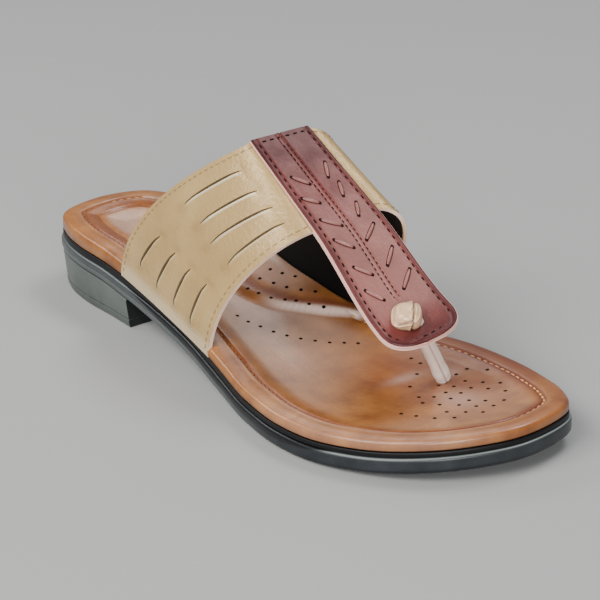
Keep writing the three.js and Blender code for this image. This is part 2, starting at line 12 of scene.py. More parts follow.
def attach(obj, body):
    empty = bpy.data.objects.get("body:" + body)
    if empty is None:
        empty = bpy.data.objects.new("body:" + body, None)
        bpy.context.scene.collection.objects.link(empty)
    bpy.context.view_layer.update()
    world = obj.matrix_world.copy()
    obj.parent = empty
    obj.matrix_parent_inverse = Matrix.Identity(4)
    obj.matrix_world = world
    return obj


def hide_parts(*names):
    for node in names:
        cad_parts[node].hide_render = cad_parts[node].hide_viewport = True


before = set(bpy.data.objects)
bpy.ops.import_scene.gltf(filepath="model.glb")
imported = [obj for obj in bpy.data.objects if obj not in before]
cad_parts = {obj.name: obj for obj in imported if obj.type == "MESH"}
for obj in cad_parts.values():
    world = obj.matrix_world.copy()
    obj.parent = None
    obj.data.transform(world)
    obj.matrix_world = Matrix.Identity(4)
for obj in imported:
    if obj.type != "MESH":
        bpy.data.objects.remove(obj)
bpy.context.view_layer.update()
scene = bpy.context.scene


# Studio: a plain pale floor in soft light. The camera looks over the outer side of the toe, at
# the photograph's angle to the shoe, and frames the one shoe.
CAMERA_PLACE = (0.66633, -0.48946, 0.37024)
CAMERA_AIM = (0.00112, 0.00748, 0.02205)
CAMERA_ROLL = -1.71
LENS = 146.0

camera_data = bpy.data.cameras.new("camera")
camera_data.lens = LENS
camera_data.clip_start, camera_data.clip_end = 0.05, 20


def set_facing(data, place, aim, roll=0.0):
    """A camera or light at place that faces aim, rolled about its line of sight by roll degrees."""
    thing = bpy.data.objects.new(data.name, data)
    scene.collection.objects.link(thing)
    thing.location = place
    thing.rotation_mode = "QUATERNION"
    facing = (Vector(aim) - Vector(place)).to_track_quat("-Z", "Y")
    thing.rotation_quaternion = facing @ Matrix.Rotation(math.radians(roll), 3, "Z").to_quaternion()
    return thing


scene.camera = set_facing(camera_data, CAMERA_PLACE, CAMERA_AIM, CAMERA_ROLL)


def plain_material(name, colour, roughness, **sockets):
    """A material whose Principled shader has the given constant values, with its nodes and links."""
    made = bpy.data.materials.new(name)
    made.use_nodes = True
    shader = made.node_tree.nodes["Principled BSDF"]
    shader.inputs["Base Color"].default_value = (*colour, 1)
    shader.inputs["Roughness"].default_value = roughness
    for socket, value in sockets.items():
        shader.inputs[socket.replace("_", " ")].default_value = value
    made.diffuse_color = (*colour, 1)
    return made


FLOOR_GREY = (0.33, 0.335, 0.332)
bpy.ops.mesh.primitive_plane_add(size=12, location=(0, 0, -0.0002))
floor = bpy.context.object
floor.name = "studio_floor"
floor.data.materials.append(plain_material("floor_paper", FLOOR_GREY, 0.9, Specular_IOR_Level=0.1))

world = bpy.data.worlds.new("studio_air")
world.use_nodes = True
air = world.node_tree.nodes["Background"]
air.inputs["Color"].default_value = (0.95, 0.97, 1.0, 1)
air.inputs["Strength"].default_value = 0.25
scene.world = world


def soft_light(name, place, aim, size, power, colour=(1, 1, 1)):
    """An area light of a size and a power at place that faces aim."""
    data = bpy.data.lights.new(name, "AREA")
    data.shape = "RECTANGLE"
    data.size, data.size_y = size
    data.energy = power
    data.color = colour
    set_facing(data, place, aim)


soft_light("key_box", (0.15, -1.05, 1.05), (0, 0, 0.02), (1.2, 0.8), 29, (1, 0.98, 0.95))
soft_light("top_box", (0.03, 0.66, 1.15), (0.03, 0, 0.05), (0.6, 0.4), 9)
soft_light("back_box", (-0.75, 0.6, 0.78), (0.03, 0, 0.03), (0.6, 0.25), 1.3)
soft_light("heel_box", (-0.9, -0.3, 0.75), (0.03, 0, 0.03), (0.5, 0.3), 3.5)
soft_light("front_box", (1.2, -0.75, 0.45), (0, 0, 0.03), (0.7, 0.4), 17)


# Outsole: one black rubber unit under the whole foot, with the shoe's outline, a waist that
# rises to the heel, a flat tread under the ball and a little toe spring. Both edges are rounded.
SOLE_LENGTH = 255.0
BALL_WIDTH = 95.0
HEEL_WIDTH = 62.0
HEEL_RISE = 15.0
TOE_SPRING = 4.9
TIP_OFFSET = 0.039
LAYER_GAP = 0.3
OUTSOLE_THICKNESS = {"heel": 6.5, "ball": 6.0}
EDGE_DROP = 1.2
LINE_LEVEL, LINE_HALF, LINE_DEPTH = 0.52, 0.22, 0.4
BUILD_CENTRE = np.array([127.5, -2.7924, 0.0])
OUTLINE_TABLE = {
    "share of length": [0.02, 0.06, 0.12, 0.2, 0.3, 0.42, 0.54, 0.64, 0.72, 0.8, 0.88, 0.94, 0.98],
    "outer side": [0.335, 0.43, 0.483, 0.495, 0.487, 0.45, 0.452, 0.495, 0.526, 0.506, 0.419, 0.294, 0.138],
    "inner side": [0.284, 0.409, 0.483, 0.496, 0.426, 0.332, 0.339, 0.401, 0.454, 0.467, 0.433, 0.373, 0.288],
}
PITCH_TABLE = {
    "share of length": [0, 0.15, 0.28, 0.45, 0.56, 0.63, 0.77, 0.86, 0.94, 1],
    "heel": [1.02, 0.96, 0.75, 0.37, 0.09, 0, 0, 0, 0, 0],
    "toe": [0, 0, 0, 0, 0, 0, 0, 0.2, 0.63, 1],
}


def unit(vectors):
    """Vectors of length one."""
    return vectors / np.maximum(np.linalg.norm(vectors, axis=-1, keepdims=True), 1e-9)


def smooth_step(low, high, value):
    """0 below low, 1 above high, and a smooth cubic between them."""
    t = np.clip((np.asarray(value, float) - low) / (high - low), 0, 1)
    return t * t * (3 - 2 * t)


def bell(value, middle, width):
    """1 at the middle, falling off on both sides as exp(-d * d), where d is the distance over width."""
    return np.exp(-(((value - middle) / width) ** 2))


def mix(start, end, share):
    """The value between start (share 0) and end (share 1)."""
    return start * (1 - share) + end * share


def hermite(start, leave, end, arrive, t):
    """Cubic curve from start (t 0) to end (t 1) with the slopes leave and arrive."""
    from_start = start * (1 + 2 * t) * (1 - t) ** 2 + leave * t * (1 - t) ** 2
    return from_start + end * t * t * (3 - 2 * t) + arrive * t * t * (t - 1)


def through(table, column):
    """A cubic through a table's column over its shares of length that never runs past them: the slope
    at each point is the harmonic mean of its neighbours' rises, or 0 where they differ in sign."""
    at, value = np.array(table["share of length"], float), np.array(table[column], float)
    rise = np.diff(value) / np.diff(at)
    product = rise[:-1] * rise[1:]
    total = np.where(product > 0, rise[:-1] + rise[1:], 1)
    slope = np.r_[rise[0], np.where(product > 0, 2 * product / total, 0), rise[-1]]

    def curve(share):
        s = np.clip(share, at[0], at[-1])
        i = np.clip(np.searchsorted(at, s, side="right") - 1, 0, len(at) - 2)
        width = at[i + 1] - at[i]
        return hermite(value[i], slope[i] * width, value[i + 1], slope[i + 1] * width, (s - at[i]) / width)

    return curve


def outline_corners():
    """The outline's rows as points, from the heel along the outer side to the toe and back."""
    share = np.array(OUTLINE_TABLE["share of length"])
    width = mix(HEEL_WIDTH, BALL_WIDTH, smooth_step(0.2, 0.64, share))
    outer = np.c_[share * SOLE_LENGTH, -np.array(OUTLINE_TABLE["outer side"]) * width]
    inner = np.c_[share * SOLE_LENGTH, np.array(OUTLINE_TABLE["inner side"]) * width]
    toe = [[SOLE_LENGTH, TIP_OFFSET * BALL_WIDTH]]
    return np.vstack([[[0, 0]], outer, toe, inner[::-1]])


OUTLINE = outline_corners()


def outline_at(t):
    """Point of the closed outline at t from 0 to 1: a centripetal Catmull-Rom curve through its rows."""
    count = len(OUTLINE)
    place = (np.asarray(t, float) % 1) * count
    i = np.floor(place).astype(int)
    w = (place - i)[..., None]
    a, b, c, d = (OUTLINE[(i + k) % count] for k in (-1, 0, 1, 2))
    ab, bc, cd = (
        np.maximum(np.sum((q - p) ** 2, -1, keepdims=True) ** 0.25, 1e-4)
        for p, q in ((a, b), (b, c), (c, d))
    )
    leave = ((b - a) / ab - (c - a) / (ab + bc) + (c - b) / bc) * bc
    arrive = ((c - b) / bc - (d - b) / (bc + cd) + (d - c) / cd) * bc
    return hermite(b, leave, c, arrive, w)


def edge_points(station, side, inset):
    """Outline points at station (0 heel, 1 toe) of a side, moved inwards by inset along the normal."""
    along = station / 2 if side == "outer" else 1 - station / 2
    point = outline_at(along)
    tangent = unit(outline_at(along + 1e-4) - outline_at(along - 1e-4))
    inward = np.stack([-tangent[..., 1], tangent[..., 0]], -1)
    return point + np.asarray(inset)[..., None] * inward


heel_pitch = through(PITCH_TABLE, "heel")
toe_pitch = through(PITCH_TABLE, "toe")


def underside(x):
    """Height of the outsole's underside: shares of the heel rise and of the toe spring."""
    return heel_pitch(x / SOLE_LENGTH) * HEEL_RISE + toe_pitch(x / SOLE_LENGTH) * TOE_SPRING


def layer_thickness(at, x):
    """Thickness of a layer that goes over from its heel to its ball value."""
    return mix(at["heel"], at["ball"], smooth_step(0.15, 0.65, x / SOLE_LENGTH))


def edge_drop(x):
    """How much thinner than its full thickness the outsole's edge is, which fades out in the waist."""
    return EDGE_DROP * (1 - smooth_step(30, 120, x))


def outsole_top(x):
    """Height of the outsole's upper face; at the heel the strip and the footbed's edge hang lower."""
    return underside(x) + layer_thickness(OUTSOLE_THICKNESS, x) - edge_drop(x)


def round_edge(low_inset, low_radius, high_inset, high_radius, inner=12.0, steps=5):
    """Rows (inset, level, offset) of a layer's edge from its flat base over a quarter round, a wall
    and a second quarter round to its flat top. level is 0 at the base and 1 at the top."""
    turn = np.linspace(0, np.pi / 2, steps + 1)
    base = np.c_[low_inset + low_radius * (1 - np.sin(turn)), 0 * turn, low_radius * (1 - np.cos(turn))]
    top = np.c_[high_inset + high_radius * (1 - np.cos(turn)), 0 * turn + 1, high_radius * (np.sin(turn) - 1)]
    return np.vstack([[inner, 0, 0], base, top, [inner, 1, 0]])


def layer_loops(rows, base, top, stations, line_at=None):
    """Closed cross sections of a layer, one a station: its edge rows on the outer side and the same
    rows on the inner side, at heights from base(x) to top(x). line_at: the wall row that is pressed in
    as a fine line round the heel."""
    station = stations[:, None] * np.ones(len(rows))
    inset = rows[:, 0] * np.ones_like(station)
    if line_at is not None:
        inset[:, line_at] += LINE_DEPTH * (1 - smooth_step(0.38, 0.48, stations))
    sides = []
    for side in ("outer", "inner"):
        flat = edge_points(station, side, inset)
        low, high = base(flat[..., 0]), top(flat[..., 0])
        height = mix(low, high, rows[:, 1]) + rows[:, 2]
        sides.append(np.concatenate([flat, height[..., None]], -1))
    return np.concatenate([sides[0], sides[1][:, ::-1]], 1)


def grid_quads(rows, columns, wrap=False):
    """Faces of a grid of points, row after row. wrap joins the last column to the first."""
    i = np.arange(rows - 1)[:, None]
    j = np.arange(columns if wrap else columns - 1)[None, :]
    right = (j + 1) % columns
    corners = (i * columns + j, (i + 1) * columns + j, (i + 1) * columns + right, i * columns + right)
    return np.stack(np.broadcast_arrays(*corners), -1).reshape(-1, 4)


def make_piece(name, points, faces, materials, sharp=None, masks=None, face_material=None):
    """A mesh piece from millimetre points: doubles merged, faces turned outwards, smooth except at
    edges sharper than the angle sharp, riding on the one body. masks: values a vertex, by name.
    face_material: which of the materials each face has."""
    data = bpy.data.meshes.new(name)
    flat = (np.asarray(points, float).reshape(-1, 3) - BUILD_CENTRE) / 1000
    data.from_pydata(flat.tolist(), [], [list(map(int, face)) for face in faces])
    for material in materials if isinstance(materials, list) else [materials]:
        data.materials.append(material)
    if face_material is not None:
        data.polygons.foreach_set("material_index", np.asarray(face_material, np.int32))
    for mask, values in (masks or {}).items():
        layer = data.attributes.new(mask, "FLOAT", "POINT")
        layer.data.foreach_set("value", np.asarray(values, np.float32).ravel())
    work = bmesh.new()
    work.from_mesh(data)
    bmesh.ops.remove_doubles(work, verts=work.verts, dist=2e-6)
    bmesh.ops.recalc_face_normals(work, faces=work.faces)
    work.to_mesh(data)
    work.free()
    data.polygons.foreach_set("use_smooth", np.ones(len(data.polygons), bool))
    if sharp is not None:
        data.set_sharp_from_angle(angle=math.radians(sharp))
    piece = bpy.data.objects.new(name, data)
    scene.collection.objects.link(piece)
    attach(piece, "root")
    return piece


def stations_for(count, crowding=0.3):
    """Stations from heel to toe, closer together at the round ends."""
    even = np.linspace(0, 1, count)
    return even + crowding * ((1 - np.cos(np.pi * even)) / 2 - even)


def wire(tree, *pairs):
    """Links from each pair's first socket to its second."""
    for source, target in pairs:
        tree.links.new(source, target)


def node_of(tree, kind, place, **values):
    """A shader node at place with properties or input values set by name."""
    node = tree.nodes.new(kind)
    node.location = place
    for key, value in values.items():
        if hasattr(node, key):
            setattr(node, key, value)
        else:
            node.inputs[key.replace("_", " ")].default_value = value
    return node


def fine_grain_group():
    """Two sizes of noise as one height, and the coarse one as a mask, on the object's coordinates."""
    group = bpy.data.node_groups.new("fine_grain", "ShaderNodeTree")
    for name, value in (("Coarse Scale", 60), ("Fine Scale", 900), ("Fine Share", 0.5)):
        socket = group.interface.new_socket(name, in_out="INPUT", socket_type="NodeSocketFloat")
        socket.default_value = value
    group.interface.new_socket("Height", in_out="OUTPUT", socket_type="NodeSocketFloat")
    group.interface.new_socket("Mask", in_out="OUTPUT", socket_type="NodeSocketFloat")
    start = node_of(group, "NodeGroupInput", (-700, 0))
    end = node_of(group, "NodeGroupOutput", (300, 0))
    where = node_of(group, "ShaderNodeTexCoord", (-700, -200))
    coarse = node_of(group, "ShaderNodeTexNoise", (-450, 100), Detail=4.0, Roughness=0.6)
    fine = node_of(group, "ShaderNodeTexNoise", (-450, -200), Detail=3.0, Roughness=0.55)
    mixed = node_of(group, "ShaderNodeMix", (0, 0))
    wire(
        group,
        (start.outputs["Coarse Scale"], coarse.inputs["Scale"]),
        (start.outputs["Fine Scale"], fine.inputs["Scale"]),
        (where.outputs["Object"], coarse.inputs["Vector"]),
        (where.outputs["Object"], fine.inputs["Vector"]),
        (start.outputs["Fine Share"], mixed.inputs[0]),
        (coarse.outputs[0], mixed.inputs[2]),
        (fine.outputs[0], mixed.inputs[3]),
        (mixed.outputs[0], end.inputs["Height"]),
        (coarse.outputs[0], end.inputs["Mask"]),
    )
    return group


FINE_GRAIN = fine_grain_group()


def worn_tone_group():
    """A colour that goes over to Burnt by the piece's dark mask, of burnishing and painted
    shade, and then to Worn by its pale mask, of paler tone and painted highlight.
    """
    group = bpy.data.node_groups.new("worn_tone", "ShaderNodeTree")
    for name in ("Colour", "Burnt", "Worn"):
        group.interface.new_socket(name, in_out="INPUT", socket_type="NodeSocketColor")
    group.interface.new_socket("Colour", in_out="OUTPUT", socket_type="NodeSocketColor")
    start = node_of(group, "NodeGroupInput", (-600, 0))
    end = node_of(group, "NodeGroupOutput", (400, 0))
    burnish = node_of(group, "ShaderNodeAttribute", (-600, 250), attribute_name="burnish")
    worn = node_of(group, "ShaderNodeAttribute", (-600, -250), attribute_name="worn")
    darker = node_of(group, "ShaderNodeMix", (-250, 100), data_type="RGBA")
    paler = node_of(group, "ShaderNodeMix", (100, 0), data_type="RGBA")
    wire(
        group,
        (burnish.outputs["Fac"], darker.inputs[0]),
        (start.outputs["Colour"], darker.inputs[6]),
        (start.outputs["Burnt"], darker.inputs[7]),
        (worn.outputs["Fac"], paler.inputs[0]),
        (darker.outputs[2], paler.inputs[6]),
        (start.outputs["Worn"], paler.inputs[7]),
        (paler.outputs[2], end.inputs["Colour"]),
    )
    return group


WORN_TONE = worn_tone_group()
GRAIN_RANGE = (0.3, 0.7)


def grained_material(
    name, dark, light, roughness, grain, bump, rough_swing=0.1, burnt=None, worn=None, **sockets
):
    """A material whose colour goes between dark and light with the coarse grain, and whose relief is
    both grains. grain: coarse scale, fine scale, fine share. bump: depth in metres.
    burnt and worn: the colours of the piece's two masks, the dark one of
    burnishing and painted shade, the pale one of paler tone and painted highlight."""
    made = plain_material(name, light, roughness, **sockets)
    tree = made.node_tree
    shader = tree.nodes["Principled BSDF"]
    spots = node_of(
        tree, "ShaderNodeGroup", (-1100, 0), node_tree=FINE_GRAIN,
        Coarse_Scale=grain[0], Fine_Scale=grain[1], Fine_Share=grain[2],
    )
    ramp = node_of(tree, "ShaderNodeValToRGB", (-850, 200))
    for stop, place, colour in zip(ramp.color_ramp.elements, GRAIN_RANGE, (dark, light)):
        stop.position, stop.color = place, (*colour, 1)
    sheen = node_of(
        tree, "ShaderNodeMapRange", (-600, -100), From_Min=GRAIN_RANGE[0], From_Max=GRAIN_RANGE[1],
        To_Min=roughness + rough_swing, To_Max=roughness - rough_swing,
    )
    relief = node_of(tree, "ShaderNodeBump", (-300, -300), Distance=bump, Strength=1.0)
    wire(
        tree,
        (spots.outputs["Mask"], ramp.inputs[0]),
        (spots.outputs["Mask"], sheen.inputs[0]),
        (spots.outputs["Height"], relief.inputs["Height"]),
        (sheen.outputs[0], shader.inputs["Roughness"]),
        (relief.outputs[0], shader.inputs["Normal"]),
    )
    colour = ramp.outputs[0]
    if burnt is not None:
        tone = node_of(
            tree, "ShaderNodeGroup", (-450, 200), node_tree=WORN_TONE, Burnt=(*burnt, 1), Worn=(*worn, 1)
        )
        wire(tree, (colour, tone.inputs["Colour"]))
        colour = tone.outputs["Colour"]
    wire(tree, (colour, shader.inputs["Base Color"]))
    return made


# Its dark colour is painted black and painted shade on the wall; its pale colour is the heel half's bare
# rubber and a painted highlight along the upper edge.
outsole_rubber = grained_material(
    "outsole_rubber", (0.007, 0.008, 0.011), (0.02, 0.023, 0.028), 0.34, (120, 1200, 0.3), 0.00002,
    rough_swing=0.03, burnt=(0.004, 0.005, 0.006), worn=(0.34, 0.385, 0.37), Specular_IOR_Level=0.35,
)
SOLE_STATIONS = stations_for(150)
LINE_ROW = 8
wall_line = np.array([
    [0, LINE_LEVEL, -LINE_HALF], [0, LINE_LEVEL, 0], [0, LINE_LEVEL, LINE_HALF], [0, 0.66, 0], [0, 0.72, 0],
])
rounded = round_edge(0, 1.9, 0, 1.3)
OUTSOLE_EDGE = np.vstack([rounded[:7], wall_line, rounded[7:]])
outsole_loops = layer_loops(OUTSOLE_EDGE, underside, outsole_top, SOLE_STATIONS, LINE_ROW)


def outsole_masks(points):
    """Dark mask: the wall's upper part is painted black along the waist and the outer ball, standing
    for the black strip and painted shade in the gap under it, and the lower third is darker under
    the ball and toe. Pale mask: the bare grey-green rubber of the heel half, and a painted
    highlight along the rounded upper edge."""
    x, z = points[..., 0], points[..., 2]
    level = (z - underside(x)) / (outsole_top(x) - underside(x))
    # Painted black high on the wall, standing for the black strip above and painted shade in the gap under
    # it.
    black_from = 1.1 - 0.55 * smooth_step(50, 105, x) * (1 - smooth_step(180, 222, x))
    burnish = smooth_step(black_from - 0.06, black_from + 0.06, level)
    burnish = np.maximum(burnish, 0.6 * (1 - smooth_step(0.2, 0.34, level)) * smooth_step(150, 200, x))
    heel_half = 1 - smooth_step(120, 190, x)
    bare = heel_half * (0.16 - 0.08 * smooth_step(0.5, 0.56, level)) + 0.02
    # Painted highlight along the rounded upper edge, weaker at the heel.
    edge = bell(level, 0.955, 0.032) * (0.62 - 0.34 * heel_half)
    return {"burnish": burnish, "worn": np.maximum(bare, edge) * (1 - burnish)}


outsole = make_piece(
    "outsole_unit", outsole_loops, grid_quads(*outsole_loops.shape[:2], wrap=True),
    outsole_rubber, sharp=60, masks=outsole_masks(outsole_loops),
)
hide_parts("outsole")


# Midsole: a thin black strip that sits a step inside the outsole and carries the footbed.
MIDSOLE_THICKNESS = {"heel": 2.8, "ball": 1.7}
RIM_DROP = 0.5


def rim_drop(x):
    """How much thinner than its full thickness the strip is under the footbed's heel edge."""
    return RIM_DROP * (1 - smooth_step(25, 110, x))


def midsole_base(x):
    """Height of the strip's underside."""
    return outsole_top(x) + LAYER_GAP


def midsole_top(x):
    """Height of the strip's upper face; at the heel the footbed's rolled edge hangs over the strip."""
    return midsole_base(x) + layer_thickness(MIDSOLE_THICKNESS, x) - rim_drop(x)


strip_black = plain_material("strip_black", (0.004, 0.004, 0.005), 0.45, Specular_IOR_Level=0.25)
MIDSOLE_EDGE = round_edge(0.8, 0.3, 0.8, 0.5, steps=3)
midsole = make_piece(
    "midsole_strip",
    layer_loops(MIDSOLE_EDGE, midsole_base, midsole_top, SOLE_STATIONS),
    grid_quads(len(SOLE_STATIONS), 2 * len(MIDSOLE_EDGE), wrap=True),
    strip_black, sharp=60,
)
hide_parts("midsole")


# Heel: a low rubber block under the outsole with a flat, upright breast, and the thinner
# wearing piece below it. Both follow the sole's outline and narrow a little towards the floor.
BREAST_AT = 65.0
LIFT_THICKNESS = 3.0


def heel_loops(rows, base, top, count=60):
    """Cross sections of a heel layer, from the back of the heel to the breast: like layer_loops, but
    each row's last point lies in the breast's plane."""
    dense = np.linspace(0, 0.5, 800)
    steps = np.sin(np.linspace(0, np.pi / 2, count))
    sides = []
    for side in ("outer", "inner"):
        columns = []
        for inset, level, offset in rows:
            flat = edge_points(dense, side, np.full_like(dense, inset))
            last = np.argmax(flat[:, 0] > BREAST_AT)
            reach = np.interp(BREAST_AT, flat[last - 1 : last + 1, 0], dense[last - 1 : last + 1])
            here = edge_points(steps * reach, side, np.full(count, inset))
            low, high = base(here[:, 0]), top(here[:, 0])
            columns.append(np.c_[here, mix(low, high, level) + offset])
        sides.append(np.stack(columns, 1))
    return np.concatenate([sides[0], sides[1][:, ::-1]], 1)


def capped_faces(rows, around, *caps):
    """Faces of a tube of rings, and one face over each ring that caps names."""
    faces = [list(face) for face in grid_quads(rows, around, wrap=True)]
    return faces + [list(range(row * around, (row + 1) * around)) for row in caps]


def heel_piece(name, rows, base, top, material):
    """A closed heel layer: its cross sections joined, and the last one filled as the breast."""
    loops = heel_loops(rows, base, top)
    count, around = loops.shape[:2]
    faces = capped_faces(count, around, count - 1)
    is_breast = np.arange(len(faces)) == len(faces) - 1
    return make_piece(
        name, loops, faces, [material, breast_black], sharp=50, face_material=is_breast
    )


# The breast is the heel's own rubber painted near black: painted shade on the face turned away from the
# light.
breast_black = plain_material("breast_black", (0.009, 0.012, 0.011), 0.5, Specular_IOR_Level=0.3)
heel_rubber = grained_material(
    "heel_rubber", (0.06, 0.072, 0.067), (0.1, 0.117, 0.108), 0.4, (30, 1200, 0.5), 0.00004
)
lift_rubber = grained_material(
    "lift_rubber", (0.05, 0.06, 0.057), (0.08, 0.092, 0.087), 0.45, (30, 1500, 0.6), 0.00005
)
heel_block = heel_piece(
    "heel_block_shaped", round_edge(1.3, 0.35, 0.45, 0.4, steps=3),
    lambda x: 0 * x + LIFT_THICKNESS + LAYER_GAP, lambda x: underside(x) - LAYER_GAP, heel_rubber,
)
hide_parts("heel_block")
top_lift = heel_piece(
    "top_lift_shaped", round_edge(1.6, 0.5, 1.25, 0.4, steps=3),
    lambda x: 0 * x, lambda x: 0 * x + LIFT_THICKNESS, lift_rubber,
)
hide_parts("top_lift")


# Footbed: burnished orange-brown leather, moulded over a soft filler. It has a rolled rim, a
# stitched groove, a dished heel seat and forefoot, and a padded arch with a crisp lower edge.
RIM_HEIGHT = 4.0
RIM_RADIUS = 1.9
GROOVE_INSET = 9.4
FOOTBED_INSET = 0.95
DISH_DEPTH = 2.6
PAD_HEIGHT = 4.2
PAD_SLOPE = 26.0
SEAT_LINE_INSET = 15.6
ARCH_TABLE = {
    "share of length": [0.27, 0.33, 0.38, 0.445, 0.5, 0.55, 0.61],
    "edge": [0.25, 0.03, -0.035, 0.0, 0.11, 0.228, 0.37],
    "amount": [0, 0.8, 1, 1, 1, 0.8, 0],
}
DISH_TABLE = {
    "share of length": [0, 0.14, 0.34, 0.5, 0.7, 0.85, 1],
    "dish": [0.6, 1, 0.6, 0.4, 0.3, 0.25, 0.2],
}
arch_edge = through(ARCH_TABLE, "edge")
arch_amount = through(ARCH_TABLE, "amount")
dish_share = through(DISH_TABLE, "dish")
OUTLINE_RING = outline_at(np.linspace(0, 1, 1200, endpoint=False))
POST_FOOT = (0.7706 * SOLE_LENGTH, 0.174 * BALL_WIDTH)


def footbed_base(x):
    """Height of the footbed's underside."""
    return midsole_top(x) + LAYER_GAP


def footbed_seat(x):
    """Height the footbed's surface is measured from, as if its edge did not hang down at the heel."""
    return footbed_base(x) + rim_drop(x) + edge_drop(x)


def inset_of(x, y):
    """Distance of points from the sole's outline."""
    flat = np.stack([x, y], -1).reshape(-1, 2)
    parts = [
        np.sqrt(((part[:, None] - OUTLINE_RING) ** 2).sum(-1)).min(1)
        for part in np.array_split(flat, max(1, len(flat) // 3000))
    ]
    return np.concatenate(parts).reshape(np.shape(x))


def beyond_arch_edge(x, y):
    """How far a point lies up the arch pad from the pad's lower edge."""
    return y - arch_edge(x / SOLE_LENGTH) * BALL_WIDTH


def arch_cover(x, y):
    """1 on the arch pad and 0 off it: the pad's leather runs up to the band over rim and groove."""
    return smooth_step(0, 0.5, arch_amount(x / SOLE_LENGTH)) * smooth_step(0, 3, beyond_arch_edge(x, y))


def footbed_height(x, y, inset):
    """Height of the footbed: the rim's crown and ridge, less the stitched groove, the shoulder inside
    it, the dish and the heel seat's own line, plus the arch pad's step and slope."""
    share = x / SOLE_LENGTH
    seat = 1 - smooth_step(52, 88, x)
    bare = 1 - arch_cover(x, y)
    beyond = beyond_arch_edge(x, y)
    rim = 0.3 * np.sin(np.pi * np.clip((inset - 2.8) / 5.4, 0, 1)) + 0.28 * bell(inset, 8.2, 0.9)
    groove = 0.95 * bell(inset, GROOVE_INSET, 0.6)
    shoulder = 1.0 * smooth_step(GROOVE_INSET - 0.2, GROOVE_INSET + 7.5, inset)
    dish = DISH_DEPTH * dish_share(share) * smooth_step(GROOVE_INSET + 1.8, GROOVE_INSET + 16.8, inset)
    furrow = 0.6 * bell(inset, SEAT_LINE_INSET, 0.8)
    seat_line = seat * (furrow - 0.5 * smooth_step(SEAT_LINE_INSET, SEAT_LINE_INSET + 2.4, inset))
    step = 0.46 * smooth_step(0, 2.4, beyond) + 0.54 * smooth_step(0, PAD_SLOPE, beyond)
    pad = arch_amount(share) * (PAD_HEIGHT * step - 0.3 * bell(beyond, -0.5, 0.8))
    dimple = 0.6 * bell(np.hypot(x - POST_FOOT[0], y - POST_FOOT[1]), 0, 5.0)
    top = footbed_seat(x) + RIM_HEIGHT + (rim - groove) * bare - shoulder - dish
    return top + pad * smooth_step(3.0, 6.5, inset) - seat_line - dimple


def footbed_points(count=300, across=120):
    """Cross sections of the footbed: rolled wall, relief rows at even insets and points across. The
    wall's columns: inset, whether its height is from the seat (1) or the base (0), height."""
    turn = np.linspace(0, np.pi / 2, 7)
    rolled = np.c_[
        FOOTBED_INSET + RIM_RADIUS * (1 - np.cos(turn)), 0 * turn + 1,
        RIM_HEIGHT + RIM_RADIUS * (np.sin(turn) - 1),
    ]
    wall = np.vstack([[FOOTBED_INSET + 0.5, 0, 0], [FOOTBED_INSET, 0, 0.5], rolled])
    relief = np.concatenate([np.arange(3.4, 7.4, 0.5), np.arange(7.4, 11.6, 0.22), np.arange(11.9, 14, 0.5)])
    station = stations_for(count)[:, None] * np.ones(len(relief))
    sides = {}
    for side in ("outer", "inner"):
        flat = edge_points(station[:, :1] * np.ones(len(wall)), side, wall[:, 0] * np.ones((count, 1)))
        low = np.where(wall[:, 1] > 0, footbed_seat(flat[..., 0]), footbed_base(flat[..., 0]))
        edge = np.concatenate([flat, (low + wall[:, 2])[..., None]], -1)
        inner = edge_points(station, side, relief * np.ones((count, 1)))
        inset = relief * np.ones((count, 1))
        height = footbed_height(inner[..., 0], inner[..., 1], inset)
        sides[side] = np.concatenate([edge, np.concatenate([inner, height[..., None]], -1)], 1)
    start, stop = sides["outer"][:, -1:, :2], sides["inner"][:, -1:, :2]
    share = (np.arange(across) + 1)[None, :, None] / (across + 1)
    flat = mix(start, stop, share)
    inset = np.maximum(inset_of(flat[..., 0], flat[..., 1]), relief[-1])
    height = footbed_height(flat[..., 0], flat[..., 1], inset)
    middle = np.concatenate([flat, height[..., None]], -1)
    return np.concatenate([sides["outer"], middle, sides["inner"][:, ::-1]], 1)


footbed_loops = footbed_points()


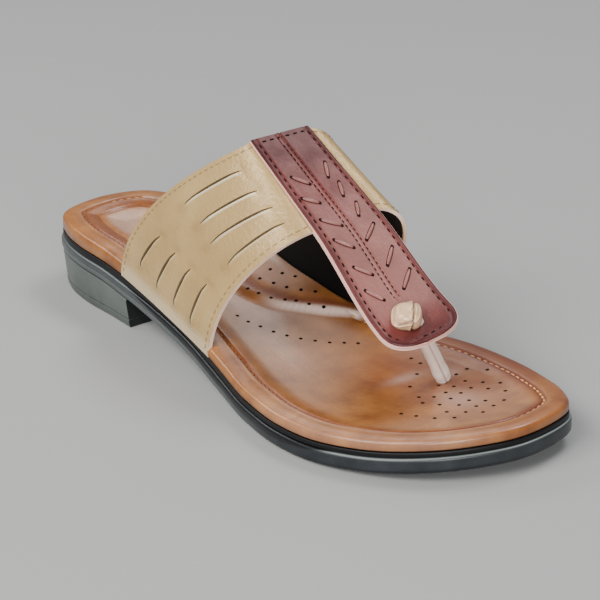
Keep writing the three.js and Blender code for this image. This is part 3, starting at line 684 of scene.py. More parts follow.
def footbed_masks(points):
    """Dark mask: darker in the groove, round the heel seat, at the toes and over the ball, red-brown
    on the pad's face, and painted shade high on the pad next to the band's lining. Pale mask: a
    paler heel seat and toe end, painted highlights on the waist, the outer rim, the ridge and the
    pad's crest and top, and painted glints either side of the post."""
    x, y = points[..., 0], points[..., 1]
    inset = inset_of(x, y)
    beyond = beyond_arch_edge(x, y)
    pad = arch_amount(x / SOLE_LENGTH)
    bare = 1 - arch_cover(x, y)
    seat = 1 - smooth_step(55, 85, x)
    toes = smooth_step(150, 185, x) * smooth_step(-25, 5, y)
    ball = smooth_step(150, 175, x) * (1 - smooth_step(205, 235, x)) * smooth_step(-20, 8, y)
    waist = smooth_step(78, 100, x) * (1 - smooth_step(135, 190, x + 0.8 * y)) * smooth_step(11, 20, inset)
    # Dark mask: real darker tones, plus painted shade high on the pad (beyond 16 mm), next to the band.
    burnish = (
        0.65 * bare * bell(inset, GROOVE_INSET + 0.4, 1.1)
        + seat * (0.5 * bell(inset, 13.0, 2.2) + 0.3 * bell(inset, SEAT_LINE_INSET, 0.7))
        + pad * (0.7 * bell(beyond, 5.4, 2.6) + 0.3 * smooth_step(16, 30, beyond))
        + toes * (0.5 * bell(inset, 10.2, 1.9) + 0.3 * (1 - smooth_step(5.5, 8, inset)))
        + 0.42 * ball
    )
    # Pale mask: mostly painted highlights and glints (waist, either side of the post, outer rim, ridge, the
    # pad's crest and top), and a paler heel seat and toe end.
    worn = (
        0.22 * waist * (1 - smooth_step(-3, 1, beyond) * pad)
        + 0.22 * seat * smooth_step(16.5, 20, inset)
        + 0.16 * (bell(x, 188, 3) * bell(y, 5, 8) + bell(x, 214, 9) * bell(y, 8, 8))
        + 0.07 * smooth_step(205, 225, x) * smooth_step(11, 15, inset)
        + 0.07 * smooth_step(150, 200, x) * (inset < 8.4) * (1 - toes)
        + 0.05 * bare * bell(inset, 8.2, 0.8)
        + 0.72 * pad * smooth_step(106, 122, x) * bell(beyond, 1.6, 1.7)
        + 0.2 * pad * (1 - smooth_step(105, 125, x)) * smooth_step(7, 12, beyond)
    )
    return {"burnish": np.clip(burnish, 0, 0.9), "worn": np.clip(worn, 0, 1)}


footbed_leather = grained_material(
    "footbed_leather", (0.2, 0.062, 0.012), (0.37, 0.145, 0.036), 0.32, (95, 800, 0.6), 0.00016,
    rough_swing=0.05, burnt=(0.14, 0.024, 0.01), worn=(0.92, 0.76, 0.68), Specular_IOR_Level=0.4,
    Coat_Weight=0.2, Coat_Roughness=0.15,
)
footbed = make_piece(
    "footbed", footbed_loops, grid_quads(*footbed_loops.shape[:2], wrap=True), footbed_leather,
    sharp=70, masks=footbed_masks(footbed_loops),
)
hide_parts("insole")


def repeated_cells(count, rows, around):
    """Faces of several equal tubes of rings, one after the other."""
    cells = grid_quads(rows, around, wrap=True)
    return (np.arange(count)[:, None, None] * rows * around + cells).reshape(-1, 4)


def small_ovals(name, centres, along, up, size, material, slot, rings=6, around=6):
    """Many small ovals as one piece: ellipsoids of the given length, width and height, each with its
    length along its own path and its height along the surface's normal there."""
    length, width, height = size
    side = np.cross(along, up)
    u = np.linspace(0, np.pi, rings)[None, :, None, None]
    v = np.linspace(0, 2 * np.pi, around, endpoint=False)[None, None, :, None]
    here, along, up, side = (part[:, None, None, :] for part in (centres, along, up, side))
    points = here + along * np.cos(u) * length / 2 + side * np.sin(u) * np.cos(v) * width / 2
    points = points + up * np.sin(u) * np.sin(v) * height / 2
    return make_piece(name, points, repeated_cells(len(centres), rings, around), material)


def spaced_along(path, normals, pitch):
    """Points at even distances along a path, each with its direction and the surface's normal."""
    run = np.r_[0, np.cumsum(np.linalg.norm(np.diff(path, axis=0), axis=1))]
    at = np.arange(pitch / 2, run[-1], pitch)

    def read(values, place):
        return np.stack([np.interp(place, run, values[:, k]) for k in range(3)], -1)

    direction = unit(read(path, at + 0.3) - read(path, at - 0.3))
    normal = read(normals, at)
    normal = unit(normal - direction * np.sum(normal * direction, -1, keepdims=True))
    return read(path, at), direction, normal


def stitch_row(name, line, pitch, size, thread, slot):
    """Stitches of a size (length, width, height) at an even pitch along a line with its normals."""
    return small_ovals(name, *spaced_along(*line, pitch), size, thread, slot)


def on_footbed(flat, lift):
    """Points on the footbed's surface at flat places, moved up by lift, with its normals."""
    x, y = np.asarray(flat, float).T
    step = 0.4

    def height(px, py):
        return footbed_height(px, py, inset_of(px, py))

    slope_x = (height(x + step, y) - height(x - step, y)) / (2 * step)
    slope_y = (height(x, y + step) - height(x, y - step)) / (2 * step)
    normal = unit(np.stack([-slope_x, -slope_y, np.ones_like(x)], -1))
    return np.stack([x, y, height(x, y)], -1) + normal * lift, normal


gold_thread = plain_material("gold_thread", (0.6, 0.34, 0.12), 0.5)
# The outer side's groove stitches get a darker brown than the inner side's gold: painted shade on the same
# thread.
brown_thread = plain_material("brown_thread", (0.21, 0.08, 0.025), 0.55)
groove_stations = np.linspace(0.0, 1.0, 700)
for side, thread in (("outer", brown_thread), ("inner", gold_thread)):
    flat = edge_points(groove_stations, side, 0 * groove_stations + GROOVE_INSET)
    flat = flat[arch_cover(flat[:, 0], flat[:, 1]) < 0.3]
    stitch_row(
        f"footbed_stitches_{side}", on_footbed(flat, 0.2), 3.2, (2.2, 0.95, 0.8), thread, "tan_leather"
    )
PUNCHED_HOLES = {
    "along the pad's foot": [
        (114.6, -14.0), (119.9, -13.0), (124.8, -11.0), (130.1, -9.0), (134.8, -6.4), (139.2, -3.4),
        (143.3, 0.1), (147.3, 3.7), (150.4, 8.0), (153.8, 11.8),
    ],
    "on the pad, low": [
        (102.7, -0.4), (107.7, 1.0), (113.1, 2.8), (117.4, 6.1), (120.5, 8.9), (125.0, 11.6), (129.9, 14.7),
    ],
    "on the pad, middle": [(100.8, 6.8), (106.8, 8.8), (112.3, 10.8), (117.5, 13.6), (121.9, 17.0)],
    "on the pad, high": [(99.9, 12.5), (105.3, 14.1), (110.3, 16.4)],
    "under the toes": [
        (210.5, -14.7), (215.8, -12.4), (221.9, -9.3), (226.7, -4.6), (220.6, -2.8), (225.6, 1.4),
        (230.3, 5.1), (213.9, -0.3), (219.0, 4.1), (224.2, 7.4), (228.4, 11.6), (212.5, 5.9),
        (218.3, 9.3), (222.7, 12.9), (227.5, 17.2), (207.2, 2.8), (207.1, 8.3), (211.2, 11.7),
        (221.6, 23.1), (204.9, 13.9), (210.2, 17.2), (215.3, 20.7), (215.0, 26.6), (209.7, 23.2),
        (204.0, 19.9), (197.1, 26.8), (203.6, 30.7), (197.3, 21.6), (200.3, 10.8), (194.7, 2.4),
        (188.1, 11.1), (181.8, 18.0), (176.4, 18.2), (203.7, -1.1), (208.5, -3.4),
    ],
}
hole_places, hole_up = on_footbed(np.concatenate(list(PUNCHED_HOLES.values())), 0.03)
# The punched holes are flat dark ovals on the surface: painted shade for the holes' insides.
hole_dark = plain_material("hole_dark", (0.012, 0.005, 0.003), 0.8, Specular_IOR_Level=0.1)
forwards = unit(np.cross(np.array([0.0, 1.0, 0.0]), hole_up))
small_ovals(
    "footbed_holes", hole_places, forwards, hole_up, (1.5, 1.5, 0.22), hole_dark, "tan_leather", 6, 10
)


# Instep band: pebbled beige leather with a soft metallic sheen, slit in rows, over a black
# lining. Its two feet are tucked down between the footbed and the strip below.
INSTEP_HEIGHT = 87.0
LEATHER_WALL = 1.4
LINING_WALL = 0.55
BAND_TABLE = {
    ("rear", "outer"): (0.2424, 0.481, -0.122, 0.985, 0.54, 0.13, 0.03, 0.36, 0.2, 0.26),
    ("rear", "inner"): (0.2886, 0.488, 0.146, 0.99, 0.54, 0.6, 0.14, 1.18, 0.76, 0.15),
    ("front", "outer"): (0.5082, 0.6204, -0.116, 0.71, 0.58, 0.15, 0, 0.56, 0.03, 0.05),
    ("front", "inner"): (0.531, 0.6282, 0.173, 0.737, 0.54, 0.82, 0.17, 1.04, 0.74, -0.1),
}


def band_edge(edge, side):
    """Control points of one edge curve, from the foot at the sole's edge to the strap's corner. The
    table's columns: foot, corner along, across and up, then the two handles' lengths and turns."""
    foot_at, at, across, up, rise, lean, splay, reach, skew, drop = BAND_TABLE[edge, side]
    outward = -1 if side == "outer" else 1
    x = foot_at * SOLE_LENGTH
    station = np.linspace(0, 1, 4001)
    rim = edge_points(station, side, np.zeros_like(station))
    foot = np.array([x, np.interp(x, rim[:, 0], rim[:, 1]) - outward * FOOTBED_INSET, footbed_base(x)])
    corner = np.array([at * SOLE_LENGTH, across * BALL_WIDTH, up * INSTEP_HEIGHT])
    height, width = corner[2] - foot[2], abs(corner[1] - foot[1])
    low_handle = foot + rise * height * np.array([lean, outward * splay, 1])
    high_handle = corner + reach * width * np.array([skew, outward, -drop])
    return foot, low_handle, high_handle, corner


BAND_EDGES = {key: band_edge(*key) for key in BAND_TABLE}


def bezier(corners, t):
    """Cubic curve of four control points."""
    t = np.asarray(t, float)[..., None]
    a, b, c, d = corners
    return (1 - t) ** 3 * a + 3 * (1 - t) ** 2 * t * b + 3 * (1 - t) * t * t * c + t**3 * d


def band_side(side, t, along):
    """Band's outer face on one side: t from the foot (0) to the strap (1), along from the rear edge
    (0) to the front edge (1), straight between the two edge curves."""
    along = np.asarray(along, float)[..., None]
    return mix(bezier(BAND_EDGES["rear", side], t), bezier(BAND_EDGES["front", side], t), along)


SEAT_FROM, SEAT_TO = 0.44, 0.56


def band_point(around, along):
    """Band's outer face from the outer foot (0) over the strap's level seat to the inner foot (1)."""
    outer = band_side("outer", np.clip(around / SEAT_FROM, None, 1), along)
    inner = band_side("inner", np.clip((1 - around) / (1 - SEAT_TO), None, 1), along)
    share = np.clip((around - SEAT_FROM) / (SEAT_TO - SEAT_FROM), 0, 1)[..., None]
    return np.where(share <= 0, outer, np.where(share >= 1, inner, mix(outer, inner, share)))


def normals_of(grid):
    """Unit normals of a grid of points whose rows run across and whose columns run forwards."""
    return unit(np.cross(np.gradient(grid, axis=1), np.gradient(grid, axis=0)))


def band_width(side, t):
    """Distance between the band's two edges at t."""
    return np.linalg.norm(band_side(side, t, np.ones_like(t)) - band_side(side, t, np.zeros_like(t)), axis=-1)


SLIT_TABLE = {
    "outer": {
        "high": [(0.457, 0.8, 0.186, 0.199), (0.46, 0.818, 0.406, 0.437), (0.436, 0.845, 0.595, 0.641),
                 (0.436, 0.852, 0.822, 0.82)],
        "low": [(0.106, 0.285, 0.193, 0.231), (0.083, 0.287, 0.401, 0.422), (0.078, 0.287, 0.601, 0.605),
                (0.068, 0.295, 0.791, 0.791)],
    },
    "inner": {
        "high": [(0.345, 0.64, 0.209, 0.25), (0.335, 0.662, 0.388, 0.475), (0.338, 0.654, 0.557, 0.665),
                 (0.328, 0.655, 0.765, 0.85)],
        "low": [(0.074, 0.221, 0.189, 0.207), (0.07, 0.189, 0.413, 0.424), (0.059, 0.171, 0.598, 0.585),
                (0.04, 0.173, 0.82, 0.788)],
    },
}
SLIT_WIDTH = {"low": 1.8, "high": 1.25}
LIP_HEIGHT = 0.6
LIP_REACH = 2.2
PUCKER_HEIGHT = 0.6
PUCKER_REACH = 4.2
# For each lane, how much brighter the painted lip highlight is on the upper rows, which face the light.
LIP_SHINE = (0.5, 0.65, 0.35, 0.1)


def slit_lanes(side, t):
    """For each of the four lanes of slits, its place along the band at t, and how open it is there:
    1 in the middle of a slit, 0 at its ends, below 0 outside."""
    places, openness = [], []
    for low, high in zip(SLIT_TABLE[side]["low"], SLIT_TABLE[side]["high"]):
        ends = [low[0], low[1], high[0], high[1]]
        place = np.interp(t, ends, [low[2], low[3], high[2], high[3]])
        bulge = [1 - ((2 * t - a - b) / (b - a)) ** 2 for a, b in ((low[0], low[1]), (high[0], high[1]))]
        places.append(place)
        openness.append(np.maximum(*bulge))
    return np.array(places), np.array(openness)


def band_columns(side, t):
    """Places along the band of the grid's columns at t, from the rear edge to the front edge. Five of
    them follow each lane of slits, so that a slit opens between two of them; the rest are even."""
    places, openness = slit_lanes(side, t)
    length = band_width(side, t)
    width = mix(SLIT_WIDTH["low"], SLIT_WIDTH["high"], smooth_step(0.28, 0.34, t))
    half = width / 2 / length * np.sqrt(np.clip(openness, 0.004, 1))
    reach = LIP_REACH / length
    stops = [np.zeros_like(t)]
    for place, open_half in zip(places, half):
        stops += [place - reach, place - open_half, place + open_half, place + reach]
    stops.append(np.ones_like(t))
    stops = np.array(stops)
    columns = []
    for k in range(len(stops) - 1):
        lane = k % 4
        steps = 7 if lane == 0 else (4 if lane in (1, 3) else 1)
        share = np.arange(steps)[:, None] / steps
        columns.append(mix(stops[k], stops[k + 1], share))
    columns.append(stops[-1:])
    return np.concatenate(columns)


def band_leather_grid():
    """Points of the leather's outer face over the whole band, with the slits' lips raised and the
    leather puckered round them; the cells where a slit opens; and two masks: a paler foot and a
    painted highlight on the slits' lips, and painted shade on the puckers just past the slits' ends."""
    side_steps, seat_steps = 96, 16
    t = np.linspace(0, 1, side_steps + 1)
    blocks, open_cells, worn_masks = [], [], []
    for side in ("outer", "inner"):
        columns = band_columns(side, t)
        tt = t[None, :] * np.ones((len(columns), 1))
        grid = band_side(side, tt, columns).transpose(1, 0, 2)
        columns = columns.T
        normal = normals_of(grid) * (1 if side == "outer" else -1)
        places, openness = slit_lanes(side, t)
        length = np.linalg.norm(grid[:, -1] - grid[:, 0], axis=-1)[:, None]
        upper = smooth_step(0.28, 0.36, t)[:, None]
        lift = np.zeros(grid.shape[:2])
        worn = 0.3 * (1 - smooth_step(0.02, 0.09, tt.T))
        soft = np.zeros(grid.shape[:2])
        cell_open = np.zeros((side_steps, columns.shape[1] - 1), bool)
        for place, opening, shine in zip(places, openness, LIP_SHINE):
            away = (columns - place[:, None]) * length
            strength = np.clip(opening * 1.7, 0, 1)[:, None]
            lip = bell(away, 0, 1.3) * np.where(away > 0, 1.0, 0.35)
            lift += strength * (LIP_HEIGHT * lip + PUCKER_HEIGHT * bell(away, 0, PUCKER_REACH))
            # Painted highlight along each slit's front lip, strongest on the upper rows.
            worn = np.maximum(worn, bell(away, 0.9, 0.36) * strength * (0.25 + shine * upper))
            # Painted shade on the puckers just past each slit's ends.
            soft = np.maximum(soft, 0.3 * bell(opening[:, None], -0.25, 0.3) * bell(away, 0, 3.2))
            middle = np.abs(columns[:, 1:] + columns[:, :-1] - 2 * place[:, None]) * length / 2
            near = (middle[1:] + middle[:-1]) / 2 < 0.05
            cell_open |= near & (opening[1:] + opening[:-1] > 0.04)[:, None]
        grid = grid + normal * lift[..., None]
        turn = 1 if side == "outer" else -1
        blocks.append(grid[::turn])
        open_cells.append(cell_open[::turn])
        worn_masks.append(np.stack([worn, soft], -1)[::turn])
    even = np.linspace(0, 1, seat_steps + 1)[1:-1, None, None]
    seat, seat_masks = (mix(part[0][-1], part[1][0], even) for part in (blocks, worn_masks))
    closed = np.zeros((seat_steps, open_cells[0].shape[1]), bool)
    return (
        np.concatenate([blocks[0], seat, blocks[1]]),
        np.concatenate([open_cells[0], closed, open_cells[1]]),
        np.concatenate([worn_masks[0], seat_masks, worn_masks[1]]),
    )


def walled_faces(rows, columns, keep):
    """Faces of a sheet with two sides, of the kept cells only: the outer faces, the inner faces turned
    round, and a wall wherever a kept cell meets an open one or the edge. Also says what each face is:
    0 a side, 1 the edge's wall, 2 a slit's wall."""
    count = rows * columns
    i, j = np.nonzero(keep)
    a, b, c, d = i * columns + j, (i + 1) * columns + j, (i + 1) * columns + j + 1, i * columns + j + 1
    faces = [np.stack([a, b, c, d], 1), np.stack([d, c, b, a], 1) + count]
    kinds = [np.zeros(2 * len(i), int)]
    padded = np.pad(keep, 1)
    for (di, dj), (p, q) in (((-1, 0), (a, d)), ((1, 0), (c, b)), ((0, -1), (b, a)), ((0, 1), (d, c))):
        near_i, near_j = i + di, j + dj
        bare = ~padded[near_i + 1, near_j + 1]
        outside = (near_i < 0) | (near_j < 0) | (near_i >= rows - 1) | (near_j >= columns - 1)
        faces.append(np.stack([p, q, q + count, p + count], 1)[bare])
        kinds.append(np.where(outside[bare], 1, 2))
    return np.concatenate(faces), np.concatenate(kinds)


def sheet_piece(name, outer, inner, keep, materials, slot, sharp=50, worn=None, burnish=None):
    """A closed sheet between two grids of points, with the open cells left out. materials: of the
    two sides, the cut edge and the slits' walls, or one for all."""
    faces, face_kind = walled_faces(*outer.shape[:2], keep)
    masks = {
        mask: np.concatenate([values.ravel(), values.ravel()])
        for mask, values in (("worn", worn), ("burnish", burnish)) if values is not None
    }
    points = np.concatenate([outer.reshape(-1, 3), inner.reshape(-1, 3)])
    kinds = face_kind if len(materials) > 1 else None
    return make_piece(name, points, faces, materials, sharp, masks, kinds)


def on_midsole(points):
    """Points kept just above the strip that the band's feet stand on."""
    settled = points.copy()
    settled[..., 2] = np.maximum(settled[..., 2], footbed_base(settled[..., 0]))
    return settled


band_leather = grained_material(
    "band_leather", (0.375, 0.237, 0.088), (0.51, 0.345, 0.142), 0.38, (30, 620, 0.9), 0.0004,
    rough_swing=0.06, burnt=(0.22, 0.12, 0.04), worn=(0.92, 0.85, 0.66), Metallic=0.12,
    Specular_IOR_Level=0.6,
)
raw_edge = plain_material("raw_edge_leather", (0.8, 0.6, 0.48), 0.6)
# The slits' walls are painted dark: painted shade inside the slits.
slit_dark = plain_material("slit_dark", (0.2, 0.135, 0.07), 0.8, Specular_IOR_Level=0.1)
lining_black = plain_material("lining_black", (0.006, 0.0045, 0.004), 0.85, Specular_IOR_Level=0.2)
band_grid, slit_cells, band_masks = band_leather_grid()
band_normals = normals_of(band_grid)
band_upper = sheet_piece(
    "instep_band_leather",
    on_midsole(band_grid), on_midsole(band_grid - band_normals * LEATHER_WALL),
    ~slit_cells, [band_leather, raw_edge, slit_dark], "beige_leather",
    worn=band_masks[..., 0], burnish=band_masks[..., 1],
)
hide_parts("upper")
around, along = np.meshgrid(np.linspace(0, 1, 121), np.linspace(0.012, 0.988, 25), indexing="ij")
lining_grid = band_point(around, along)
lining_normals = normals_of(lining_grid)
LINING_DEPTH = LEATHER_WALL + 0.1
lining = sheet_piece(
    "instep_band_lining",
    on_midsole(lining_grid - lining_normals * LINING_DEPTH),
    on_midsole(lining_grid - lining_normals * (LINING_DEPTH + LINING_WALL)),
    np.ones(np.subtract(around.shape, 1), bool), [lining_black], "black_strip",
)
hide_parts("upper")


def band_seam(side, edge, margin, lift=0.12):
    """Line on the band's outer face at a margin inside one of its edges, with its normals."""
    t = np.linspace(0.02, 0.985, 400)
    ends = band_side(side, t, np.zeros_like(t)), band_side(side, t, np.ones_like(t))
    share = margin / np.linalg.norm(ends[1] - ends[0], axis=-1)
    place = share if edge == "rear" else 1 - share
    path = band_side(side, t, place)
    along_path = np.gradient(path, axis=0)
    normal = unit(np.cross(ends[1] - ends[0], along_path)) * (1 if side == "outer" else -1)
    return path + normal * lift, normal


band_thread = plain_material("band_thread", (0.3, 0.19, 0.09), 0.6)
for side in ("outer", "inner"):
    for edge, margin in (("rear", 1.9), ("front", 2.5)):
        stitch_row(
            f"band_stitches_{side}_{edge}", band_seam(side, edge, margin), 3.1, (2.1, 0.5, 0.35),
            band_thread, "beige_leather",
        )


# Toe strap: a burnished maroon strip stitched on a pinkish-beige backing. It starts at the
# band's rear edge, lies level on the band and runs free down to the post, with a rounded tip.
STRAP_HALF_WIDTH = 15.2
TIP_LENGTH = 13.0
BAND_SHARE = 0.42
STRAP_END = np.array([0.8275 * SOLE_LENGTH, 0.007 * BALL_WIDTH, 0.397 * INSTEP_HEIGHT])
END_TURN = unit(np.array([0.1, 1, 0.2]))
END_FALL = unit(np.array([1, 0, -0.16]))
TIP_POWER = 2.6


def strap_on_band(across, along):
    """Strap's seat on the band: straight from the outer corner (across -1) to the inner one (1)."""
    share = (np.asarray(across, float)[..., None] + 1) / 2
    ones = np.ones_like(share[..., 0])
    return mix(band_side("outer", ones, along), band_side("inner", ones, along), share)


def strap_free(across, t):
    """Free part of the strap: for each place across, a Hermite curve from the band's front edge to
    the turned end section."""
    start = strap_on_band(across, np.ones_like(across))
    leave = unit(start - strap_on_band(across, np.full_like(across, 0.8)))
    end = STRAP_END + across[..., None] * STRAP_HALF_WIDTH * END_TURN
    length = np.linalg.norm(end - start, axis=-1, keepdims=True)
    return hermite(start, leave * length, end, END_FALL * length, t[..., None])


FREE_LENGTH = np.linalg.norm(strap_free(np.zeros(1), np.ones(1)) - strap_free(np.zeros(1), np.zeros(1)))
TIP_FROM = 1 - (1 - BAND_SHARE) * TIP_LENGTH / FREE_LENGTH


def tip_rounding(along):
    """Share of the strap's width that is left at along, a superellipse over the tip."""
    into = np.clip((along - TIP_FROM) / (1 - TIP_FROM), 0, 0.985)
    return (1 - into**TIP_POWER) ** (1 / TIP_POWER)


def strap_face(across, along):
    """Strap's face at across, in half widths from its middle, and along, from the band's rear edge
    (0) to the free end (1)."""
    on_band = strap_on_band(across, np.clip(along / BAND_SHARE, 0, 1))
    free = strap_free(across, np.clip((along - BAND_SHARE) / (1 - BAND_SHARE), 0, 1))
    return np.where((along <= BAND_SHARE)[..., None], on_band, free)


def strap_lifted(across, along, lift=0.0):
    """Points of the strap's face moved out by lift, with the face's normals there."""
    across, along = np.broadcast_arrays(np.asarray(across, float), np.asarray(along, float))
    step = 2e-3
    behind, ahead = (strap_face(across, np.clip(along + way, 0, 1)) for way in (-step, step))
    sideways = strap_face(across + step, along) - strap_face(across - step, along)
    normal = unit(np.cross(ahead - behind, sideways))
    return strap_face(across, along) + normal * np.asarray(lift)[..., None], normal


def strap_places(count):
    """Places along the strap, closer together in the tip."""
    tip = TIP_FROM + (1 - TIP_FROM) * np.sin(np.linspace(0, np.pi / 2, count // 4))
    return np.r_[np.linspace(0, TIP_FROM, count, endpoint=False), tip]


def strap_grid(margin, start, columns):
    """Grid over the strap inside a margin, from start to the tip: the places across and along."""
    share, along = np.meshgrid(
        np.linspace(-1, 1, columns), mix(start, 1, strap_places(140)), indexing="ij"
    )
    return share * (tip_rounding(along) - margin / STRAP_HALF_WIDTH), along, share


SEAM_FROM, SEAM_TO = (-0.095, 0.0), (-0.04, 0.775)
LEAF_BARS = {
    "outer": [
        ((-0.604, 0.195), (-0.262, 0.244)), ((-0.74, 0.29), (-0.37, 0.33)),
        ((-0.665, 0.395), (-0.243, 0.444)), ((-0.677, 0.485), (-0.315, 0.538)),
        ((-0.602, 0.605), (-0.269, 0.657)), ((-0.652, 0.701), (-0.368, 0.762)),
    ],
    "inner": [
        ((0.582, 0.175), (0.357, 0.24)), ((0.529, 0.272), (0.36, 0.333)), ((0.35, 0.43), (0.55, 0.375)),
        ((0.113, 0.529), (0.567, 0.479)), ((0.22, 0.647), (0.621, 0.588)), ((0.237, 0.754), (0.675, 0.693)),
    ],
}
OVERLAY_LIFT = 1.5
OVERLAY_MARGIN = 0.5
SEWN_INSIDE = 2.3
REAR_ROW = 0.02


def seam_across(along):
    """Place across of the strap's middle seam."""
    return SEAM_FROM[0] + (SEAM_TO[0] - SEAM_FROM[0]) * (along - SEAM_FROM[1]) / (SEAM_TO[1] - SEAM_FROM[1])


def overlay_relief(across, along, share):
    """Lift of the maroon strip: rounded edges, a furrow under the edge stitches, and two furrows with
    a ridge between along the middle seam. Also its dark mask, high at the edges, the top and the
    tip, and its pale mask, paler along the middle."""
    from_side = (1 - np.abs(share)) * STRAP_HALF_WIDTH
    from_edge = np.minimum(from_side, (1 - along) / (1 - TIP_FROM) * TIP_LENGTH)
    off_seam = (across - seam_across(along)) * STRAP_HALF_WIDTH
    seam = 1 - smooth_step(SEAM_TO[1] - 0.03, SEAM_TO[1] + 0.02, along)
    relief = (
        seam * (0.35 * bell(off_seam, 0, 0.55) - 0.3 * bell(np.abs(off_seam), 1.0, 0.45))
        - 0.35 * bell(from_edge, 0, 0.5) - 0.22 * bell(from_edge, SEWN_INSIDE, 0.6)
    )
    burnish = 0.55 * bell(from_side, 0, 2.0) + 0.8 * smooth_step(0.86, 0.985, along)
    burnish += 0.6 * (1 - smooth_step(0, 0.3, along))
    middle = smooth_step(0.25, 0.55, along) * (1 - smooth_step(0.8, 0.9, along))
    return relief, np.clip(burnish, 0, 0.95), 0.3 * middle * smooth_step(1, 4, from_side)


def strap_sheet(name, grid, top, under, materials, slot, **masks):
    """A closed sheet that follows the strap over a grid, between two lifts from the strap's face."""
    across, along = grid[:2]
    outer, inner = (strap_lifted(across, along, lift)[0] for lift in (top, under))
    keep = np.ones(np.subtract(across.shape, 1), bool)
    return sheet_piece(name, outer, inner, keep, materials, slot, **masks)


strap_maroon = grained_material(
    "strap_maroon", (0.088, 0.016, 0.014), (0.19, 0.046, 0.039), 0.4, (80, 700, 0.6), 0.0002,
    rough_swing=0.06, burnt=(0.045, 0.005, 0.006), worn=(0.42, 0.2, 0.17), Specular_IOR_Level=0.25,
)
strap_edge = plain_material("strap_cut_edge", (0.12, 0.03, 0.027), 0.55, Specular_IOR_Level=0.3)
overlay_grid = strap_grid(OVERLAY_MARGIN, 0.0, 101)
relief, burnish, strap_worn = overlay_relief(*overlay_grid)
strap_overlay = strap_sheet(
    "strap_maroon_strip", overlay_grid, OVERLAY_LIFT + relief, 0.8, [strap_maroon, strap_edge],
    "maroon_leather", worn=strap_worn, burnish=burnish,
)
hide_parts("strap_overlay")
backing_leather = plain_material("strap_backing_leather", (0.8, 0.5, 0.42), 0.55)
pale_ply = strap_sheet(
    "strap_pale_ply", strap_grid(0.15, 0.0, 41), 0.78, 0.3, [backing_leather], "maroon_leather"
)
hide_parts("strap_overlay")
strap_backing = strap_sheet(
    "strap_backing", strap_grid(0.0, 0.36, 41), -0.05, -0.7, [backing_leather], "pink_leather"
)
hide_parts("upper")


def strap_sewing_line(margin):
    """Places (across, along) of a line inside the strap's edge: forwards along the outer side, round
    the tip as a superellipse, back along the inner side and across the rear."""
    half = 1 - margin / STRAP_HALF_WIDTH
    run = np.linspace(REAR_ROW, TIP_FROM, 300)
    turn = np.linspace(np.pi, 0, 160)
    tip_across = half * np.sign(np.cos(turn)) * np.abs(np.cos(turn)) ** (2 / TIP_POWER)
    tip_along = TIP_FROM + (1 - TIP_FROM) * (1 - margin / TIP_LENGTH) * np.sin(turn) ** (2 / TIP_POWER)
    back = np.linspace(half, -half, 60)
    return np.concatenate([
        np.c_[0 * run - half, run], np.c_[tip_across, tip_along], np.c_[0 * run + half, run[::-1]],
        np.c_[back, 0 * back + REAR_ROW],
    ])


# Dark thread for the stitches, also used as painted shade in the leaf bars' slots and end holes.
dark_thread = plain_material("dark_thread", (0.012, 0.003, 0.003), 0.75, Specular_IOR_Level=0.1)
sewing = strap_sewing_line(OVERLAY_MARGIN + SEWN_INSIDE)
sewing_lift = OVERLAY_LIFT - np.where(sewing[:, 1] > REAR_ROW + 0.001, 0.22, 0.0)
stitch_row(
    "strap_edge_stitches", strap_lifted(*sewing.T, sewing_lift), 3.3, (2.0, 0.85, 0.5),
    dark_thread, "maroon_leather",
)
places = np.linspace(0.05, SEAM_TO[1], 300)
for row, shift in (("outer", -0.95), ("inner", 0.95)):
    line = strap_lifted(seam_across(places) + shift / STRAP_HALF_WIDTH, places, OVERLAY_LIFT - 0.25)
    stitch_row(f"strap_seam_stitches_{row}", line, 2.2, (1.5, 0.6, 0.45), dark_thread, "maroon_leather")


def leaf_bars(name, ends, width, height, lift, longer, material, steps=14, around=12):
    """Raised bars laced through the strap: half ovals along straight lines between their ends on the
    strap's face, as tall as height in the middle."""
    ends = np.array(ends)
    share = -longer + (1 + 2 * longer) * (1 - np.cos(np.linspace(0, np.pi, steps))) / 2
    middle = mix(ends[:, :1], ends[:, 1:], share[None, :, None])
    line, normal = strap_lifted(middle[..., 0], middle[..., 1], lift)
    direction = unit(line[:, -1:] - line[:, :1])
    side = unit(np.cross(direction * np.ones_like(normal), normal))
    girth = np.sin(np.linspace(0, np.pi, steps)) ** 0.55
    turn = np.linspace(0, 2 * np.pi, around, endpoint=False)
    sideways = side[:, :, None] * np.cos(turn)[:, None] * width / 2
    outwards = normal[:, :, None] * np.sin(turn)[:, None] * height
    points = line[:, :, None] + (sideways + outwards) * girth[None, :, None, None]
    return make_piece(name, points, repeated_cells(len(ends), steps, around), material)


all_bars = LEAF_BARS["outer"] + LEAF_BARS["inner"]
bar_leather = grained_material(
    "bar_leather", (0.17, 0.052, 0.044), (0.31, 0.125, 0.105), 0.34, (60, 900, 0.5), 0.00005,
    rough_swing=0.05, Coat_Weight=0.1, Coat_Roughness=0.25,
)
# The slots round the bars are flat dark ovals: painted shade of the openings.
leaf_bars("leaf_bar_slots", all_bars, 1.75, 0.1, OVERLAY_LIFT + 0.02, 0.05, dark_thread)
leaf_bars("leaf_bars", all_bars, 1.35, 0.8, OVERLAY_LIFT + 0.05, -0.02, bar_leather)
bar_ends = np.array(all_bars).reshape(-1, 2)
end_places, end_up = strap_lifted(bar_ends[:, 0], bar_ends[:, 1], OVERLAY_LIFT + 0.12)
end_forwards = unit(np.cross(end_up, np.array([0.0, 1.0, 0.0])))
# Painted shade: dark ovals for the holes at the bars' ends.
small_ovals(
    "leaf_bar_holes", end_places, end_forwards, end_up, (1.5, 1.3, 0.5), dark_thread, "maroon_leather", 8, 10
)


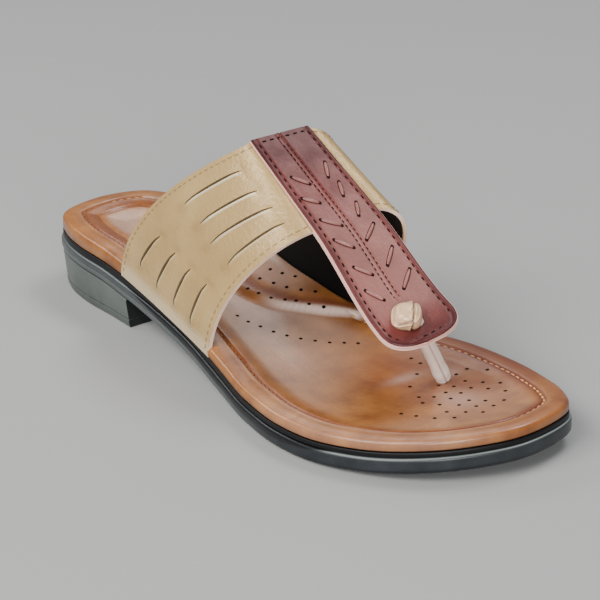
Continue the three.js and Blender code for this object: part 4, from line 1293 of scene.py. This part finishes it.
# Toe post: a round thong wrapped in pinkish-beige leather, with its seam on the outer side. It
# comes up out of the footbed, bows a little towards the toe and passes through the strap.
POST_RADIUS = 2.8
POST_BOW = 2.5
SEAM_TURN = 4.4
POST_TOP = {"along": 0.875, "across": -0.2}
post_head, strap_up = strap_lifted(np.array([POST_TOP["across"]]), np.array([POST_TOP["along"]]), 0.0)
post_head, strap_up = post_head[0] + strap_up[0] * OVERLAY_LIFT, strap_up[0]
post_base = np.array([*POST_FOOT, footbed_base(POST_FOOT[0])])


def post_tube(count=60, around=48):
    """A tube along a quadratic curve from under the footbed to the strap, with a furrow for the seam
    and a slight swelling at the foot. Also the burnish mask, high in the furrow."""
    aim = unit(post_head - post_base)
    low, high = post_base - aim * 2 * POST_RADIUS, post_head + strap_up * 2 * POST_RADIUS
    bowed = (low + high) / 2 + np.array([POST_BOW, 0, 0])
    t = np.linspace(0.2, 0.86, count)[:, None]
    centre = (1 - t) ** 2 * low + 2 * t * (1 - t) * bowed + t * t * high
    direction = unit(np.gradient(centre, axis=0))
    side = unit(np.cross(direction, [1.0, 0, 0]))
    other = np.cross(direction, side)
    turn = np.linspace(0, 2 * np.pi, around, endpoint=False)[None, :]
    furrow = bell(turn, SEAM_TURN, 0.1) + 0 * t
    girth = POST_RADIUS * (1 - 0.13 * furrow) * (1 + 0.1 * bell(t, 0.27, 0.05))
    ring = np.cos(turn)[..., None] * side[:, None] + np.sin(turn)[..., None] * other[:, None]
    return centre[:, None] + ring * girth[..., None], 0.75 * furrow


post_rings, post_burnish = post_tube()
post_faces = capped_faces(*post_rings.shape[:2], 0, len(post_rings) - 1)
post_leather = grained_material(
    "post_leather", (0.74, 0.61, 0.53), (0.86, 0.75, 0.67), 0.38, (150, 1200, 0.4), 0.00005,
    rough_swing=0.05, burnt=(0.2, 0.1, 0.07), worn=(0.8, 0.7, 0.6),
)
toe_post = make_piece(
    "toe_post_wrapped", post_rings, post_faces, post_leather, sharp=60,
    masks={"burnish": post_burnish},
)
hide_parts("toe_post")


# Knot: the post's leather ends folded on top of the strap into a squarish beige cushion, one
# end brought round its inner side and the other tucked under from the rear.
KNOT_RADIUS = 5.456
KNOT_HEIGHT = 6.6


def knot_cushion(rows=70, around=140):
    """A dome over a rounded square. Its front is one fold; a second lies beside it on the inner side
    and a third above it, both lower. Also the dark mask: painted shade in the folds between them
    and low down, where the knot meets the strap."""
    up = np.linspace(-0.42, 1, rows)[:, None]
    turn = np.linspace(0, 2 * np.pi, around, endpoint=False)[None, :]
    girth = np.sqrt(np.clip(1 - up**2, 0, 1)) ** 0.75
    square = (np.abs(np.cos(turn)) ** 3 + np.abs(np.sin(turn)) ** 3) ** (-1 / 3)
    facing, beside = np.cos(turn) * girth * square, np.sin(turn) * girth * square
    off_side = beside - (0.34 + 0.1 * up)
    off_top = up - (0.42 + 0.45 * beside)
    side_part = smooth_step(0, 0.09, off_side)
    top_part = smooth_step(0, 0.09, off_top) * (1 - side_part)
    side_fold = bell(off_side, 0, 0.075)
    top_fold = bell(off_top, 0, 0.075) * (1 - side_part) * smooth_step(-0.9, -0.5, beside)
    fold = np.maximum(side_fold, top_fold)
    shape = 1 - 0.06 * side_part - 0.09 * top_part - 0.13 * fold
    shape += 0.05 * bell(off_side, -0.16, 0.1) + 0.05 * bell(off_top, -0.16, 0.1)
    radius = KNOT_RADIUS * shape
    height = np.maximum(KNOT_HEIGHT * (0.66 * up + 0.3) * (0.35 + 0.65 * shape), 0.35)
    front = unit(np.cross(strap_up, [0.0, -1.0, 0.0]))
    inner = np.cross(strap_up, front)
    face, side = 0.8 * front - 0.6 * inner, 0.6 * front + 0.8 * inner
    ring = (radius * facing)[..., None] * face + (radius * beside)[..., None] * side
    # Painted shade: dark in the folds and near the knot's foot on the strap.
    burnish = 0.85 * fold + 0.5 * (1 - smooth_step(0.3, 1.6, height))
    return post_head + ring + height[..., None] * strap_up, np.clip(burnish, 0, 0.9)


knot_rings, knot_burnish = knot_cushion()
knot_faces = capped_faces(*knot_rings.shape[:2], 0)
knot_leather = grained_material(
    "knot_leather", (0.52, 0.32, 0.175), (0.72, 0.48, 0.3), 0.26, (200, 1400, 0.4), 0.00006,
    rough_swing=0.05, burnt=(0.14, 0.07, 0.035), worn=(0.85, 0.75, 0.6), Metallic=0.05,
)
knot = make_piece(
    "knot_folded", knot_rings, knot_faces, knot_leather, masks={"burnish": knot_burnish}
)
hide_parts("knot")
